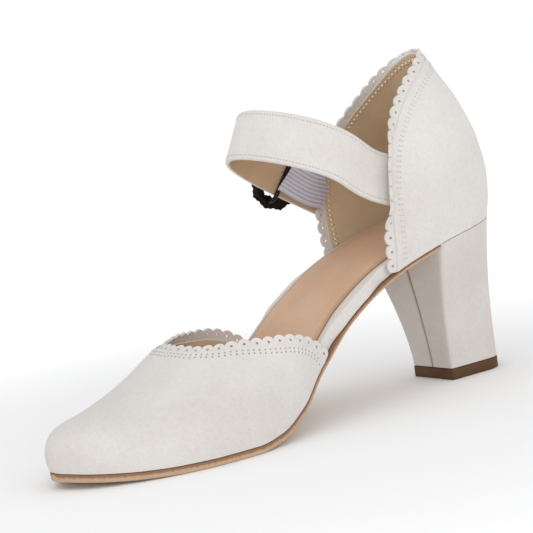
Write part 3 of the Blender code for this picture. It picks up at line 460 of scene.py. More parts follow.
def ovals(centre, first, second, count):
    """Rings of count points round centres. first and second are each ring's two half axes."""
    turn = np.linspace(0, 2 * np.pi, count, endpoint=False)[:, None]
    centre, first, second = (values[..., None, :] for values in (centre, first, second))
    return centre + first * np.cos(turn) + second * np.sin(turn)


# %% [markdown]
# ## The last
# The same sections as in the solids: widths and rises of the sole from heel to toe, the crown of the
# vamp, and the lean of the quarter. Lengths are shares of the sizes above each table.

# %% Sizes
LENGTH, HEEL_HEIGHT, TOE_SPRING = 228 * MM, 69 * MM, 3.5 * MM
BALL, WAIST, SEAT = 84 * MM, 56 * MM, 57 * MM
OUTSOLE, INSOLE, SOCK_THICK = 3.0 * MM, 5.0 * MM, 1.0 * MM
WALL, GAP, LAST_GAP = 1.8 * MM, 0.3 * MM, 0.45 * MM
WAIST_EDGE, WAIST_MARGIN, SOCK_MARGIN = 0.5 * MM, 5.5 * MM, 2.5 * MM
WAIST_CLEAR, WAIST_BLEND = 2 * MM, 8 * MM
VAMP_HEIGHT, VAMP_BULGE, THROAT, VAMP_SIDE_END = 40 * MM, 1.4 * MM, LENGTH - 61 * MM, 109 * MM
QUARTER_HEIGHT, QUARTER_REACH, LEAN, QUARTER_BULGE = 74.5 * MM, 66.5 * MM, 20 * MM, 2.2 * MM
TRIM_WIDTH, TRIM_THICK, SCALLOP = 4.8 * MM, 1.2 * MM, 1.6 * MM
VAMP_PITCH, QUARTER_PITCH = 5.2 * MM, 6.0 * MM
BREAST, HEEL_BACK, BASE_DEPTH, BASE_WIDTH, BASE_ROUND = 43.5 * MM, 1.0 * MM, 33 * MM, 27 * MM, 11 * MM
HEEL_HOLLOW, TOP_PIECE = 0.8 * MM, 5.0 * MM
ORIGIN = np.array([HEEL_BACK + BASE_DEPTH / 2, 0.0, 0.0])

SOLE_TABLE = np.array([
    # station, width zone, inner, outer, heel rise, toe rise, sole
    (0.000, SEAT, 0.065, 0.065, 0.996, 0.00, 0.55),
    (0.006, SEAT, 0.160, 0.160, 0.994, 0.00, 0.55),
    (0.020, SEAT, 0.277, 0.277, 0.988, 0.00, 0.55),
    (0.065, SEAT, 0.440, 0.440, 0.966, 0.00, 0.55),
    (0.120, SEAT, 0.495, 0.500, 0.933, 0.00, 0.55),
    (0.200, SEAT, 0.500, 0.520, 0.873, 0.00, 0.55),
    (0.300, WAIST, 0.445, 0.565, 0.748, 0.00, 0.55),
    (0.400, WAIST, 0.400, 0.595, 0.542, 0.00, 0.55),
    (0.480, WAIST, 0.435, 0.610, 0.322, 0.00, 0.65),
    (0.560, BALL, 0.385, 0.445, 0.125, 0.00, 0.85),
    (0.630, BALL, 0.455, 0.494, 0.027, 0.00, 1.00),
    (0.690, BALL, 0.482, 0.510, 0.000, 0.00, 1.00),
    (0.760, BALL, 0.474, 0.490, 0.000, 0.00, 1.00),
    (0.830, BALL, 0.430, 0.425, 0.000, 0.04, 1.00),
    (0.890, BALL, 0.365, 0.318, 0.000, 0.22, 1.00),
    (0.935, BALL, 0.293, 0.208, 0.000, 0.48, 1.00),
    (0.968, BALL, 0.217, 0.110, 0.000, 0.73, 1.00),
    (0.988, BALL, 0.145, 0.035, 0.000, 0.90, 1.00),
    (0.997, BALL, 0.104, -0.008, 0.000, 0.97, 1.00),
    (1.000, BALL, 0.080, -0.035, 0.000, 1.00, 1.00),
])
STATION = SOLE_TABLE[:, 0] * LENGTH
INNER, OUTER = SOLE_TABLE[:, 1] * SOLE_TABLE[:, 2], SOLE_TABLE[:, 1] * SOLE_TABLE[:, 3]
RISE = SOLE_TABLE[:, 4] * HEEL_HEIGHT + SOLE_TABLE[:, 5] * TOE_SPRING
CROWN_TABLE = np.array([(0.0, 0.17), (0.002, 0.235), (0.0065, 0.3), (0.017, 0.375), (0.035, 0.44),
                        (0.065, 0.49), (0.11, 0.545), (0.16, 0.628), (0.215, 0.757), (0.285, 1.0),
                        (0.4, 1.28), (0.53, 1.52)])
THROAT_TABLE = np.array([(0.0, 0.0), (0.13, 0.12), (0.27, 0.28), (0.43, 0.51), (0.58, 0.72),
                         (0.7, 0.88), (0.83, 0.97), (1.0, 1.0)])
LEAN_TABLE = np.array([
    # height, bulge, back, side
    (0.00, 0.00, 0.00, 0.00),
    (0.12, 0.75, 0.00, 0.00),
    (0.25, 1.00, 0.00, 0.00),
    (0.45, 0.80, 0.09, 0.05),
    (0.70, 0.36, 0.41, 0.24),
    (0.90, 0.05, 0.81, 0.55),
    (1.00, 0.00, 1.00, 0.74),
    (1.15, 0.00, 1.24, 0.98),
])
EDGE_TABLE = np.array([
    # height, inner, outer
    (0.00, 1.00, 0.89),
    (0.20, 1.00, 0.90),
    (0.40, 0.985, 0.905),
    (0.55, 0.955, 0.88),
    (0.68, 0.895, 0.82),
    (0.78, 0.81, 0.715),
    (0.86, 0.69, 0.58),
    (0.93, 0.52, 0.415),
    (0.98, 0.28, 0.225),
    (1.00, 0.06, 0.06),
])
print("heel point of the sole to toe", round(LENGTH / MM), "mm")

# %% Curves of the last
def ease_through(xs, ys, x):
    """Smooth curve through the points (xs, ys) that keeps level between equal neighbours.

    Each stretch is a cubic. The slope at a point is the weighted harmonic mean of its two
    neighbours' slopes, or nothing where the curve turns back.
    """
    step = np.diff(xs)
    rise = np.diff(ys) / step
    left, right = rise[:-1], rise[1:]
    wide, near = 2 * step[1:] + step[:-1], step[1:] + 2 * step[:-1]
    same_way = left * right > 0
    left, right = np.where(same_way, left, 1.0), np.where(same_way, right, 1.0)
    mean = (wide + near) / (wide / left + near / right)
    slope = np.concatenate(([rise[0]], np.where(same_way, mean, 0.0), [rise[-1]]))
    cell = np.clip(np.searchsorted(xs, x, side="right") - 1, 0, len(step) - 1)
    t = (x - xs[cell]) / step[cell]
    grow, leave = slope[cell] * step[cell], slope[cell + 1] * step[cell]
    return (ys[cell] * (2 * t**3 - 3 * t**2 + 1) + grow * (t**3 - 2 * t**2 + t)
            + ys[cell + 1] * (3 * t**2 - 2 * t**3) + leave * (t**3 - t**2))


# The outline is worked out at FINE places between the ROWS of the table.
ROWS = np.arange(float(len(STATION)))
FINE = np.linspace(0, len(STATION) - 1, 400)
FINE_X = ease_through(ROWS, STATION, FINE)


def read(table, place, x):
    """Smooth curve of one column of a table over its first column."""
    return ease_through(table[:, 0], table[:, place], x)


def smooth_step(x):
    """0 below 0, 1 above 1, and an even rise between."""
    t = np.clip(x, 0, 1)
    return t * t * (3 - 2 * t)


def sole_rise(x):
    """Height of the outsole's underside above the floor at x."""
    return ease_through(STATION, RISE, x)


def layer(x, above):
    """Height above the floor of a layer that lies above over the outsole, square to its slope."""
    probe = 0.2 * MM
    inside = np.clip(x, probe, LENGTH - probe)
    slope = (sole_rise(inside + probe) - sole_rise(inside - probe)) / (2 * probe)
    share = ease_through(STATION, SOLE_TABLE[:, 6], x)
    return sole_rise(x) + (share * OUTSOLE + above) * np.sqrt(1 + slope**2)


def outline_loop(inset):
    """The sole's plan outline moved inwards by inset: x, inner y and outer y at shared stations."""
    x = FINE_X
    sides = []
    for widths in (INNER, OUTER):
        y = ease_through(ROWS, widths, FINE)
        along_x, along_y = np.gradient(x), np.gradient(y)
        size = np.hypot(along_x, along_y)
        moved_x, moved_y = x + inset * along_y / size, y - inset * along_x / size
        moved_x[0], moved_y[0], moved_x[-1], moved_y[-1] = x[0] + inset, y[0], x[-1] - inset, y[-1]
        sides.append((moved_x, moved_y))
    shared = inset + x * (LENGTH - 2 * inset) / LENGTH
    return shared, np.interp(shared, *sides[0]), -np.interp(shared, *sides[1])


def outline_at(x, inset=0.0):
    """Inner and outer y of the outline, moved inwards by inset, at x."""
    shared, inner, outer = outline_loop(inset)
    return np.interp(x, shared, inner), np.interp(x, shared, outer)


def outline_stations(count, start, end):
    """Stations from start to end, closer together where the outline turns quickly."""
    first, last = np.interp([start, end], FINE_X, FINE)
    stations = np.interp(np.linspace(first, last, count), FINE, FINE_X)
    stations[0], stations[-1] = start, end
    return stations


# %% [markdown]
# ## Sole layers
# Outsole, insole and sock are slabs over the same stations. The outsole's mark rises from its tread to
# its upper edge, where a dark ragged line of painted shade lies under the turned suede. The sock is
# burnished at its rim.
# A bevel modifier could round the edges, but a ring's own arcs can round top and bottom differently.

# %% Sole layers
def slab(x, inner, outer, bottom, top, rounding, foot, skive=0.0, mark=None):
    """A closed slab with a ring at each station. Its mark is each point's share of its height.

    rounding is the radius of its upper long edges and foot that of its lower ones. skive is how much
    thinner it is at its rims, or thicker where it is below 0. mark may be a function of its rings.
    """
    most = np.minimum((inner - outer) * 0.22, (top - bottom) * 0.45)[:, None]
    r, q = np.minimum(rounding, most), np.minimum(foot, most)
    turn = np.radians(np.linspace(0, 90, 5))
    back = turn[::-1]
    share = np.linspace(0, 1, 17)[1:-1]
    low, high = bottom[:, None], top[:, None]
    near, far = inner[:, None], outer[:, None]
    flat = share * ((far + r) - (near - r)) + near - r
    y = np.hstack((near - q * (1 - np.sin(turn)), near - r * (1 - np.cos(turn)), flat,
                   far + r * (1 - np.cos(back)), far + q * (1 - np.sin(back)), flat[:, ::-1]))
    z = np.hstack((low + q * (1 - np.cos(turn)), high - r * (1 - np.sin(turn)), high + 0 * flat,
                   high - r * (1 - np.sin(back)), low + q * (1 - np.cos(back)), low + 0 * flat))
    level = (z - low) / (high - low)
    z = z - level * skive * np.exp(-np.minimum(near - y, y - far) / (2 * MM))
    rings = np.stack((np.broadcast_to(x[:, None], y.shape), y, z), axis=-1) - ORIGIN
    return tube(rings, mark(rings) if mark else level)


def open_waist(x):
    """1 in the open waist between quarter and vamp, 0 where the upper stands, with soft ends."""
    clear = TRIM_WIDTH + WAIST_CLEAR
    from_quarter = smooth_step((x - QUARTER_REACH - clear) / WAIST_BLEND)
    return from_quarter * smooth_step((VAMP_SIDE_END - clear - x) / WAIST_BLEND)


def sole_pieces():
    """Outsole, suede-covered insole board and leather sock."""
    x = outline_stations(220, BREAST + GAP, LENGTH)
    inner, outer = outline_at(x)
    # The outsole's mark, its share of height, paints shade along its top edge.
    sole = slab(x, inner, outer, sole_rise(x), layer(x, 0.0), rounding=0.4 * MM, foot=0.7 * MM)
    add_piece("outsole_leather", [sole], [SOLE], ["outsole"])
    inset = WALL + LAST_GAP
    x = outline_stations(240, inset, LENGTH - inset)
    closed, free, share = outline_at(x, inset), outline_at(x, WAIST_EDGE), open_waist(x)
    inner, outer = (closed[k] + (free[k] - closed[k]) * share for k in (0, 1))
    board = slab(x, inner, outer, layer(x, GAP), layer(x, GAP + INSOLE),
                 rounding=0.9 * MM, foot=0.4 * MM, skive=-0.35 * MM)
    add_piece("insole_suede", [board], [IVORY], ["insole"])
    inset += SOCK_MARGIN
    x = outline_stations(240, inset, LENGTH - inset)
    inner, outer = outline_at(x, inset)
    wide = smooth_step((x - BREAST) / (QUARTER_REACH + TRIM_WIDTH - BREAST))
    wide = wide * smooth_step((THROAT - x) / (THROAT - VAMP_SIDE_END))
    inner = inner - (WAIST_EDGE + WAIST_MARGIN - inset) * wide
    bottom = 2 * GAP + INSOLE

    def burnish(rings):
        """1 at the sock's rim, fading inwards over less than a millimetre."""
        side = rings[..., 1]
        return np.exp(-np.minimum(inner[:, None] - side, side - outer[:, None]) / (0.35 * MM))

    sock = slab(x, inner, outer, layer(x, bottom - 0.2 * MM), layer(x, bottom + SOCK_THICK),
                rounding=0.2 * MM, foot=0.1 * MM, skive=0.9 * MM, mark=burnish)
    add_piece("sock_leather", [sock], [SOCK], ["sock_lining"])


sole_pieces()

# %% [markdown]
# ## Vamp
# The vamp is the leather over the toes, pulled down on the last. It is half an ellipse at each station,
# from the inner feather edge over the crown to the outer one, which keeps it as smooth as a lasted shoe
# where sculpting would leave dents. Its wall is closed: suede outside and smooth lining inside.

# %% Vamp
def throat_station(turn):
    """Where the vamp's topline lies along X at a turn of its section."""
    climb = 1 - np.abs(turn / (np.pi / 2) - 1)
    return VAMP_SIDE_END + (THROAT - VAMP_SIDE_END) * read(THROAT_TABLE, 1, climb)


def vamp_surface(x, turn, inset):
    """Point of the vamp at a station and a turn of its section, moved inwards by inset.

    The section is half an ellipse, swollen along the outline's normal. The swell across the foot fades
    again at the crown, and the swell along it goes on over the crown.
    """
    end = LENGTH - inset
    x = np.minimum(x, end)
    inner, outer = outline_at(x, inset)
    middle, half = (inner + outer) / 2, (inner - outer) / 2
    crown = read(CROWN_TABLE, 1, (end - x) / LENGTH) * VAMP_HEIGHT - inset
    probe = 0.4 * MM
    before, after = np.clip(x - probe, inset, end), np.clip(x + probe, inset, end)
    on_inner = np.cos(turn) >= 0
    behind, ahead = outline_at(before, inset), outline_at(after, inset)
    slopes = [(ahead[0] - behind[0]) / (after - before), (behind[1] - ahead[1]) / (after - before)]
    at_tip = x >= end - probe / 4
    normals_x = [np.where(at_tip, 1.0, -slope / np.hypot(1, slope)) for slope in slopes]
    share = (1 + np.cos(turn)) / 2
    normal_x = normals_x[0] * share + normals_x[1] * (1 - share)
    normal_y = np.where(at_tip, 0.0, 1 / np.hypot(1, np.where(on_inner, slopes[0], slopes[1])))
    swell = VAMP_BULGE * np.sin(2 * np.minimum(turn, np.pi - turn))
    forward = np.where(np.abs(turn - np.pi / 2) < np.pi / 4, VAMP_BULGE, swell)
    y = middle + half * np.cos(turn) + np.where(on_inner, 1, -1) * swell * normal_y
    return np.stack((x + forward * normal_x, y, layer(x, GAP) + crown * np.sin(turn)), axis=-1) - ORIGIN


def crowded(count, power):
    """Shares from 0 to 1, closer together towards 1 where power is above 1."""
    return 1 - (1 - np.linspace(0, 1, count)) ** power


def vamp_grid(rows, cols, inset):
    """Grid of the vamp from its topline to the toe tip."""
    along = crowded(rows, 1.9)
    turn = np.linspace(0, np.pi, cols)
    start = throat_station(turn)
    x = start + (LENGTH - inset - start) * along[:, None]
    return vamp_surface(x, np.broadcast_to(turn, x.shape), inset)


def close_toe(points, rows=8):
    """The grid with rows that close its last row over the tip, down to the feather edge's middle."""
    foot = (points[-1, 0] + points[-1, -1]) / 2
    share = np.linspace(0, 1, rows + 1)[1:, None, None]
    return np.concatenate((points, points[-1] + (foot - points[-1]) * share))


def soften_toe(points, passes=24):
    """Smooths the grid near the toe tip, without drawing it in.

    Each pass moves a point towards the mean of its four neighbours, and the next moves it back by
    slightly more, which keeps the volume. Both fade out with the distance from the tip.
    """
    near = 1 - smooth_step(np.linalg.norm(points - points[-1, 0], axis=-1) / (16 * MM))
    for turn in range(passes):
        mean = points.copy()
        mean[1:-1, 1:-1] = (points[:-2, 1:-1] + points[2:, 1:-1] + points[1:-1, :-2]
                            + points[1:-1, 2:]) / 4
        step = 0.55 if turn % 2 == 0 else -0.56
        points = points + (mean - points) * step * near[..., None]
    return points


def wall(outer, inner, edges):
    """Both faces of a wall, and a strip from face to face along each of its edges."""
    share = np.linspace(0, 1, 5)[:, None, None]
    rims = [block(outer[edge] + (inner[edge] - outer[edge]) * share) for edge in edges]
    return [block(outer), block(inner, 1)] + rims


TOPLINE, LAST_ROW, SIDES = np.s_[0], np.s_[-1], [np.s_[:, 0], np.s_[:, -1]]
outer, inner = (soften_toe(close_toe(vamp_grid(110, 150, inset))) for inset in (0.0, WALL))
add_piece("vamp_suede", wall(outer, inner, [TOPLINE] + SIDES), [IVORY, LINING], ["vamp"])

# %% [markdown]
# ## Quarter
# The quarter holds the heel. The sole's outline is lifted, bulged over the heel bone, drawn forward at
# the back and narrowed to its top. girth runs along the outline from the back, and height is measured
# above the sole, so lines for trims and stitches can be drawn on it as on a flat pattern.

# %% Quarter
def run_lengths(points):
    """Length from a chain's start to each of its points."""
    return np.concatenate(([0], np.cumsum(np.linalg.norm(np.diff(points, axis=0), axis=1))))


def quarter_base(girth):
    """Plan point and outward normal of the heel's outline at a girth, above 0 on the inner side."""
    x, inner, outer = outline_loop(0.0)
    keep = x <= LENGTH / 2
    run = np.stack((np.concatenate((x[keep][::-1], x[keep])),
                    np.concatenate((outer[keep][::-1], inner[keep]))), axis=1)
    lengths = run_lengths(run)
    place = (lengths[keep.sum() - 1] + lengths[keep.sum()]) / 2 + girth
    probe = 2.0 * MM
    px, py = (np.interp(place, lengths, run[:, k]) for k in (0, 1))
    (dx, dy) = (np.interp(place + probe, lengths, values) - np.interp(place - probe, lengths, values)
                for values in run.T)
    size = np.hypot(dx, dy)
    return px, py, -dy / size, dx / size


def girth_to_reach(side):
    """Girth from the back of the heel to QUARTER_REACH on the inner side (1) or the outer (2)."""
    loop = outline_loop(0.0)
    keep = loop[0] <= QUARTER_REACH
    half_back = (loop[1][0] - loop[2][0]) / 2
    return half_back + run_lengths(np.stack((loop[0][keep], loop[side][keep]), axis=1))[-1]


REACH = {1: girth_to_reach(1), 2: girth_to_reach(2)}


def quarter_form(girth, height):
    """Outer face of the quarter at a girth and a height."""
    px, py, normal_x, normal_y = quarter_base(girth)
    bulge, back, side = (read(LEAN_TABLE, k, height / QUARTER_HEIGHT) for k in (1, 2, 3))
    drawn = LEAN * back * np.clip(1 - px / QUARTER_REACH, 0, 1) ** 2
    plan_x = px + QUARTER_BULGE * bulge * normal_x + drawn
    plan_y = (py + QUARTER_BULGE * bulge * normal_y) * (1 - LEAN * side / (SEAT / 2))
    return np.stack((plan_x, plan_y, layer(px, GAP) + height), axis=-1) - ORIGIN


def quarter_normal(girth, height):
    """Outward normal of the quarter's outer face."""
    step = 0.5 * MM
    along = quarter_form(girth + step, height) - quarter_form(girth - step, height)
    up = quarter_form(girth, height + step) - quarter_form(girth, height - step)
    return unit(np.cross(up, along))


def quarter_surface(girth, height, inset=0.0):
    """Point of the quarter, moved inwards by inset along its own normal."""
    return quarter_form(girth, height) - inset * quarter_normal(girth, height)


def quarter_edge(height, side):
    """Signed girth of the quarter's front edge on one side at a height."""
    return (1 if side == 1 else -1) * read(EDGE_TABLE, side, height / QUARTER_HEIGHT) * REACH[side]


def quarter_grid(rows, cols, inset):
    """Grid of the quarter, each row level round the heel from edge to edge."""
    height = QUARTER_HEIGHT * crowded(rows, 1.6)
    inner, outer = quarter_edge(height, 1), quarter_edge(height, 2)
    girth = outer[:, None] + (inner - outer)[:, None] * np.linspace(0, 1, cols)
    return quarter_surface(girth, np.broadcast_to(height[:, None], girth.shape), inset)


outer, inner = (quarter_grid(90, 170, inset) for inset in (0.0, WALL))
faces = wall(outer, inner, [TOPLINE, LAST_ROW] + SIDES)
add_piece("quarter_suede", faces, [IVORY, LINING], ["quarter"])

# %% [markdown]
# ## Heel
# The block runs from the seat's outline down to a smaller base. Its corners are rounded by drawing each
# point of a ring towards its neighbours, and the suede meets in a sunk seam down the middle of the
# breast, with painted shade in its groove. The block's suede is painted a shade darker than the ivory,
# as the heel stands in shade. Blending two outlines was chosen over a boolean cut, because it leaves
# clean rings.

# %% Heel
def even_run(x, y, count):
    """count points, evenly spaced, along the chain of points (x, y)."""
    lengths = run_lengths(np.stack((x, y), axis=1))
    place = np.linspace(0, lengths[-1], count)
    return np.interp(place, lengths, x), np.interp(place, lengths, y)


def heel_base_run(count):
    """Plan run of the heel's base, from the inner front edge round the back to the outer front edge."""
    front, half = HEEL_BACK + BASE_DEPTH, BASE_WIDTH / 2
    turns = np.radians(np.linspace(0, 90, 12))
    corner_x = HEEL_BACK + BASE_ROUND * (1 - np.sin(turns))
    corner_y = half - BASE_ROUND * (1 - np.cos(turns))
    return even_run(np.concatenate(([front], corner_x, corner_x[::-1], [front])),
                    np.concatenate(([half], corner_y, -corner_y[::-1], [-half])), count)


def heel_seat_run(count):
    """Plan run of the heel's top, which follows the sole's outline back from the breast."""
    x, inner, outer = outline_loop(0.0)
    keep = x < BREAST
    near, far = outline_at(BREAST)
    return even_run(np.concatenate(([BREAST], x[keep][::-1], x[keep], [BREAST])),
                    np.concatenate(([near], inner[keep][::-1], outer[keep], [far])), count)


def across_breast(rings, count):
    """Rings closed across the breast, with count more points from the last point to the first."""
    share = np.linspace(0, 1, count + 2)[1:-1]
    bridge = rings[:, -1:] + (rings[:, :1] - rings[:, -1:]) * share[None, :, None]
    return np.concatenate((rings, bridge), axis=1)


def round_corners(rings, passes):
    """Each ring's points drawn towards the mean of their two neighbours."""
    for _ in range(passes):
        rings = (np.roll(rings, 1, axis=1) + 2 * rings + np.roll(rings, -1, axis=1)) / 4
    return rings


# The seam's depth, and its half width in points of a ring. Powers above 1 taper the block soon.
SEAM_DEPTH, SEAM_SPREAD = 0.7 * MM, 0.7
HEEL_SLANT, HEEL_TAPER = 1.3, 1.7


def heel_pieces():
    """Covered heel block and its top piece. levels give the top piece's heights and insets in mm."""
    count, rows, bridge = 150, 70, 41
    top_x, top_y = heel_seat_run(count)
    base_x, base_y = heel_base_run(count)
    down = np.linspace(0, 1, rows)[:, None]
    hollow = HEEL_HOLLOW * np.sin(np.pi * down) * np.clip(1 - top_x / BREAST, 0, 1)
    x = top_x + (base_x - top_x) * (1 - (1 - down) ** HEEL_SLANT) + hollow
    y = top_y + (base_y - top_y) * (1 - (1 - down) ** HEEL_TAPER)
    top_z = layer(top_x, 0.0)
    z = top_z + (TOP_PIECE + GAP - top_z) * down
    rings = across_breast(np.stack((x, y, z), axis=-1) - ORIGIN, bridge)
    rings = round_corners(rings, 5)
    from_seam = np.arange(count + bridge) - (count + bridge // 2)
    # The seam's mark, as deep as the seam is sunk, also paints shade into its groove.
    seam = np.exp(-(from_seam / SEAM_SPREAD) ** 2) * (from_seam >= -(bridge // 2))
    rings[..., 0] -= SEAM_DEPTH * seam
    add_piece("heel_suede", [tube(rings, seam)], [SHADED_HEEL_SUEDE], ["heel"])
    base = np.stack((base_x, base_y, 0 * base_x), axis=-1)[None] - ORIGIN
    base = round_corners(across_breast(base, bridge), 2)[0]
    core = base.mean(axis=0)
    inset = unit(core - base) * np.array([1.0, 1.0, 0.0])
    levels = np.array([(0.0, 0.4), (0.15, 0.12), (0.4, 0.0), (4.6, 0.0), (4.85, 0.12), (5.0, 0.4)]) * MM
    rings = np.stack([base + inset * inwards + np.array([0, 0, height]) for height, inwards in levels])
    add_piece("top_piece_rubber", [tube(rings)], [RUBBER], ["heel_top_piece"])


heel_pieces()

# %% [markdown]
# ## Scalloped trims
# One cell per scallop. Its outline is a lobe over a straight foot, and round a punched hole in its
# middle runs a fan of points out to that outline, on the front and on the back of the leather. The
# quarter's strip stands away from the strap, and it lies low round the top of the heel.

# %% Scalloped trims
HOLE_RADIUS, HOLE_HEIGHT, TRIM_FOOT = 0.62 * MM, 2.2 * MM, -0.3 * MM
INSIDE_VAMP = np.array([0.11, 0.0, -0.02])
STRAP_FLARE, TOP_FLARE = np.radians([70, 50])
LOBE_POWER = 0.6


def at_lengths(line, lengths, place):
    """Values of a line at distances along it."""
    return np.stack([np.interp(place, lengths, line[:, k]) for k in range(3)], axis=-1)


def lobe_outline(notch, depth, foot):
    """Outline of one scallop: share across it and height, from its foot round its lobe and back.

    The lobe is half a wave of a sine, made fuller by LOBE_POWER.
    """
    bottom, side, top = 7, 3, 15
    arc = np.linspace(1, 0, top)
    across = np.concatenate((np.linspace(0, 1, bottom), np.ones(side), arc, np.zeros(side)))
    up = np.linspace(foot, notch, side + 2)[1:-1]
    lobe = notch + depth * np.sin(np.pi * np.clip(arc, 0, 1)) ** LOBE_POWER
    height = np.concatenate((np.full(bottom, foot), up, lobe, up[::-1]))
    on_lobe = np.concatenate((np.zeros(bottom + side), np.ones(top), np.zeros(side)))
    return across, height, on_lobe


def trim_cells(line, rise, out, lobes):
    """Points of every scallop's cell, as rings from the hole's front edge round the rim to its back."""
    lengths = run_lengths(line)
    pitch = lengths[-1] / lobes
    across, height, on_lobe = lobe_outline(TRIM_WIDTH - SCALLOP, SCALLOP, TRIM_FOOT)
    local = np.stack(((across - 0.5) * pitch, height - HOLE_HEIGHT), axis=-1)
    hole = unit(local) * HOLE_RADIUS
    shares = (0.0, 0.30, 0.65, 1.0)
    half = TRIM_THICK / 2
    rings = [hole + (local * (1 - 0.04 * on_lobe[:, None]) - hole) * s for s in shares]
    plan = np.stack(rings + [local] + rings[::-1])
    lift = np.array([half] * 4 + [0.0] + [-half] * 4)[:, None] * np.ones(len(across))
    start = pitch * (np.arange(lobes) + 0.5)
    place = start[:, None, None] + plan[None, ..., 0]
    points = at_lengths(line, lengths, place)
    points = points + at_lengths(rise, lengths, place) * (plan[..., 1] + HOLE_HEIGHT)[None, ..., None]
    return points + at_lengths(out, lengths, place) * lift[None, ..., None]


def add_trim(name, node, line, out, away, scallop_pitch, flare=0.0, tall=1.0):
    """Scalloped strip along line, away from its wall's edge.

    It rises in the wall's own direction, turned outwards by flare, and tall scales its height.
    """
    along = unit(np.gradient(line, axis=0))
    out = unit(out)
    rise = unit(np.cross(along, out))
    rise *= np.sign(np.sum(rise * away, axis=1, keepdims=True))
    turn, size = (np.broadcast_to(value, (len(line),))[:, None] for value in (flare, tall))
    rise, out = rise * np.cos(turn) + out * np.sin(turn), out * np.cos(turn) - rise * np.sin(turn)
    rise = rise * size
    lobes = max(1, round(run_lengths(line)[-1] / scallop_pitch))
    cells = trim_cells(line, rise, out, lobes)
    strip = block(cells, wrap_rows=True, wrap_cols=True)
    add_piece(name, [strip], [IVORY], [node], sharp=40.0, merge=0)
    return lobes


def vamp_edge(ahead=0.0, inset=WALL / 2, count=400):
    """Line on the vamp at a distance ahead of its topline, with its normals and forward directions."""
    turn = np.linspace(0, np.pi, count)
    x = throat_station(turn)
    edge = vamp_surface(x, turn, inset)
    along = unit(np.gradient(edge, axis=0))
    forward = vamp_surface(x + MM, turn, inset) - vamp_surface(x - MM, turn, inset)
    square = np.linalg.norm(forward - along * np.sum(forward * along, axis=1, keepdims=True), axis=1)
    line = vamp_surface(x + ahead * 2 * MM / square, turn, inset)
    out = unit(np.cross(forward, along))
    out *= np.sign(np.sum(out * (line - INSIDE_VAMP), axis=1, keepdims=True))
    return line, out, forward


def quarter_edge_line(count=260):
    """Girth and height along the quarter's edge, from the outer foot over the top to the inner foot."""
    climb = QUARTER_HEIGHT * crowded(count, 1.6)
    outer, inner = quarter_edge(climb, 2), quarter_edge(climb, 1)
    top = np.linspace(outer[-1], inner[-1], 11)[1:-1]
    girth = np.concatenate((outer, top, inner[::-1]))
    return girth, np.concatenate((climb, np.full(len(top), QUARTER_HEIGHT), climb[::-1]))


def quarter_stand(line, girth, height):
    """How far the quarter's strip turns outwards, and its share of full height, along its line.

    On the inner side it turns by STRAP_FLARE at the strap's heights, with smooth steps at both ends.
    Just past the top, towards the outer side, it turns by TOP_FLARE and fades as a bell curve of the
    distance from the top. Its height drops as such a curve too, longer on the outer side.
    """
    from_low, to_high = (height / MM - 15) / 14, (66 - height / MM) / 22
    by_strap = smooth_step(to_high) * smooth_step(from_low) * (girth > 0)
    run = run_lengths(line)
    past_top = (run[np.argmax(line[:, 2])] - run) / MM
    turned = smooth_step((past_top + 4) / 12) * np.exp(-(np.maximum(past_top, 0) / 26) ** 2)
    low = np.exp(-(past_top / np.where(past_top > 0, 24, 7)) ** 2)
    return STRAP_FLARE * by_strap + TOP_FLARE * turned, 1 - 0.55 * low


line, out, forward = vamp_edge()
vamp_lobes = add_trim("vamp_scallops", "vamp_trim", line, out, -forward, VAMP_PITCH)
girth, height = quarter_edge_line()
line = quarter_surface(girth, height, WALL / 2)
away = quarter_surface(girth + np.sign(girth) * MM, height + MM, WALL / 2) - line
quarter_lobes = add_trim("quarter_scallops", "quarter_trim", line, quarter_normal(girth, height), away,
                         QUARTER_PITCH, *quarter_stand(line, girth, height))
print("scallops:", vamp_lobes, "on the vamp,", quarter_lobes, "on the quarter")

# %% [markdown]
# ## Strap
# The strap is a band along one curve, from inside the quarter over the instep to its free tail. Its
# curve is a spline through measured places with a tilt at each, since a real strap is cut curved and
# stands on edge by its own stiffness, which a cloth simulation would let fall.

# %% Strap
STRAP_WIDTH, STRAP_THICK, STRAP_SLACK, TAIL_ROUND = 22 * MM, 2.4 * MM, 1.2 * MM, 9 * MM
STRAP_REACH, STRAP_SPREAD, STRAP_RISE = 106.5 * MM, 38 * MM, 119.5 * MM
ELASTIC_WIDTH, ELASTIC_THICK, ELASTIC_SLACK = 17 * MM, 1.4 * MM, 0.5 * MM
BUCKLE_FORWARD, BUCKLE_BAR = 0.685, 2.0 * MM
SEWN_TABLE = np.array([(0.66, 0.320), (0.78, 0.385), (0.90, 0.465)])
STRAP_TABLE = np.array([
    # forward, side, height, tilt
    (0.657, 0.495, 0.819, 15),
    (0.741, 0.470, 0.878, 15),
    (0.837, 0.362, 0.934, 16),
    (0.920, 0.118, 0.976, 20),
    (0.976, -0.210, 1.003, 24),
    (0.995, -0.530, 1.009, 27),
    (0.955, -0.800, 0.986, 23),
    (0.870, -0.950, 0.942, 18),
    (0.765, -1.000, 0.884, 12),
    (0.650, -0.980, 0.820, 8),
    (0.535, -0.945, 0.757, 5),
    (0.430, -0.915, 0.699, 4),
])
ELASTIC_TABLE = np.array([(0.39, -0.52), (0.43, 0.0), (0.475, 1.0)])


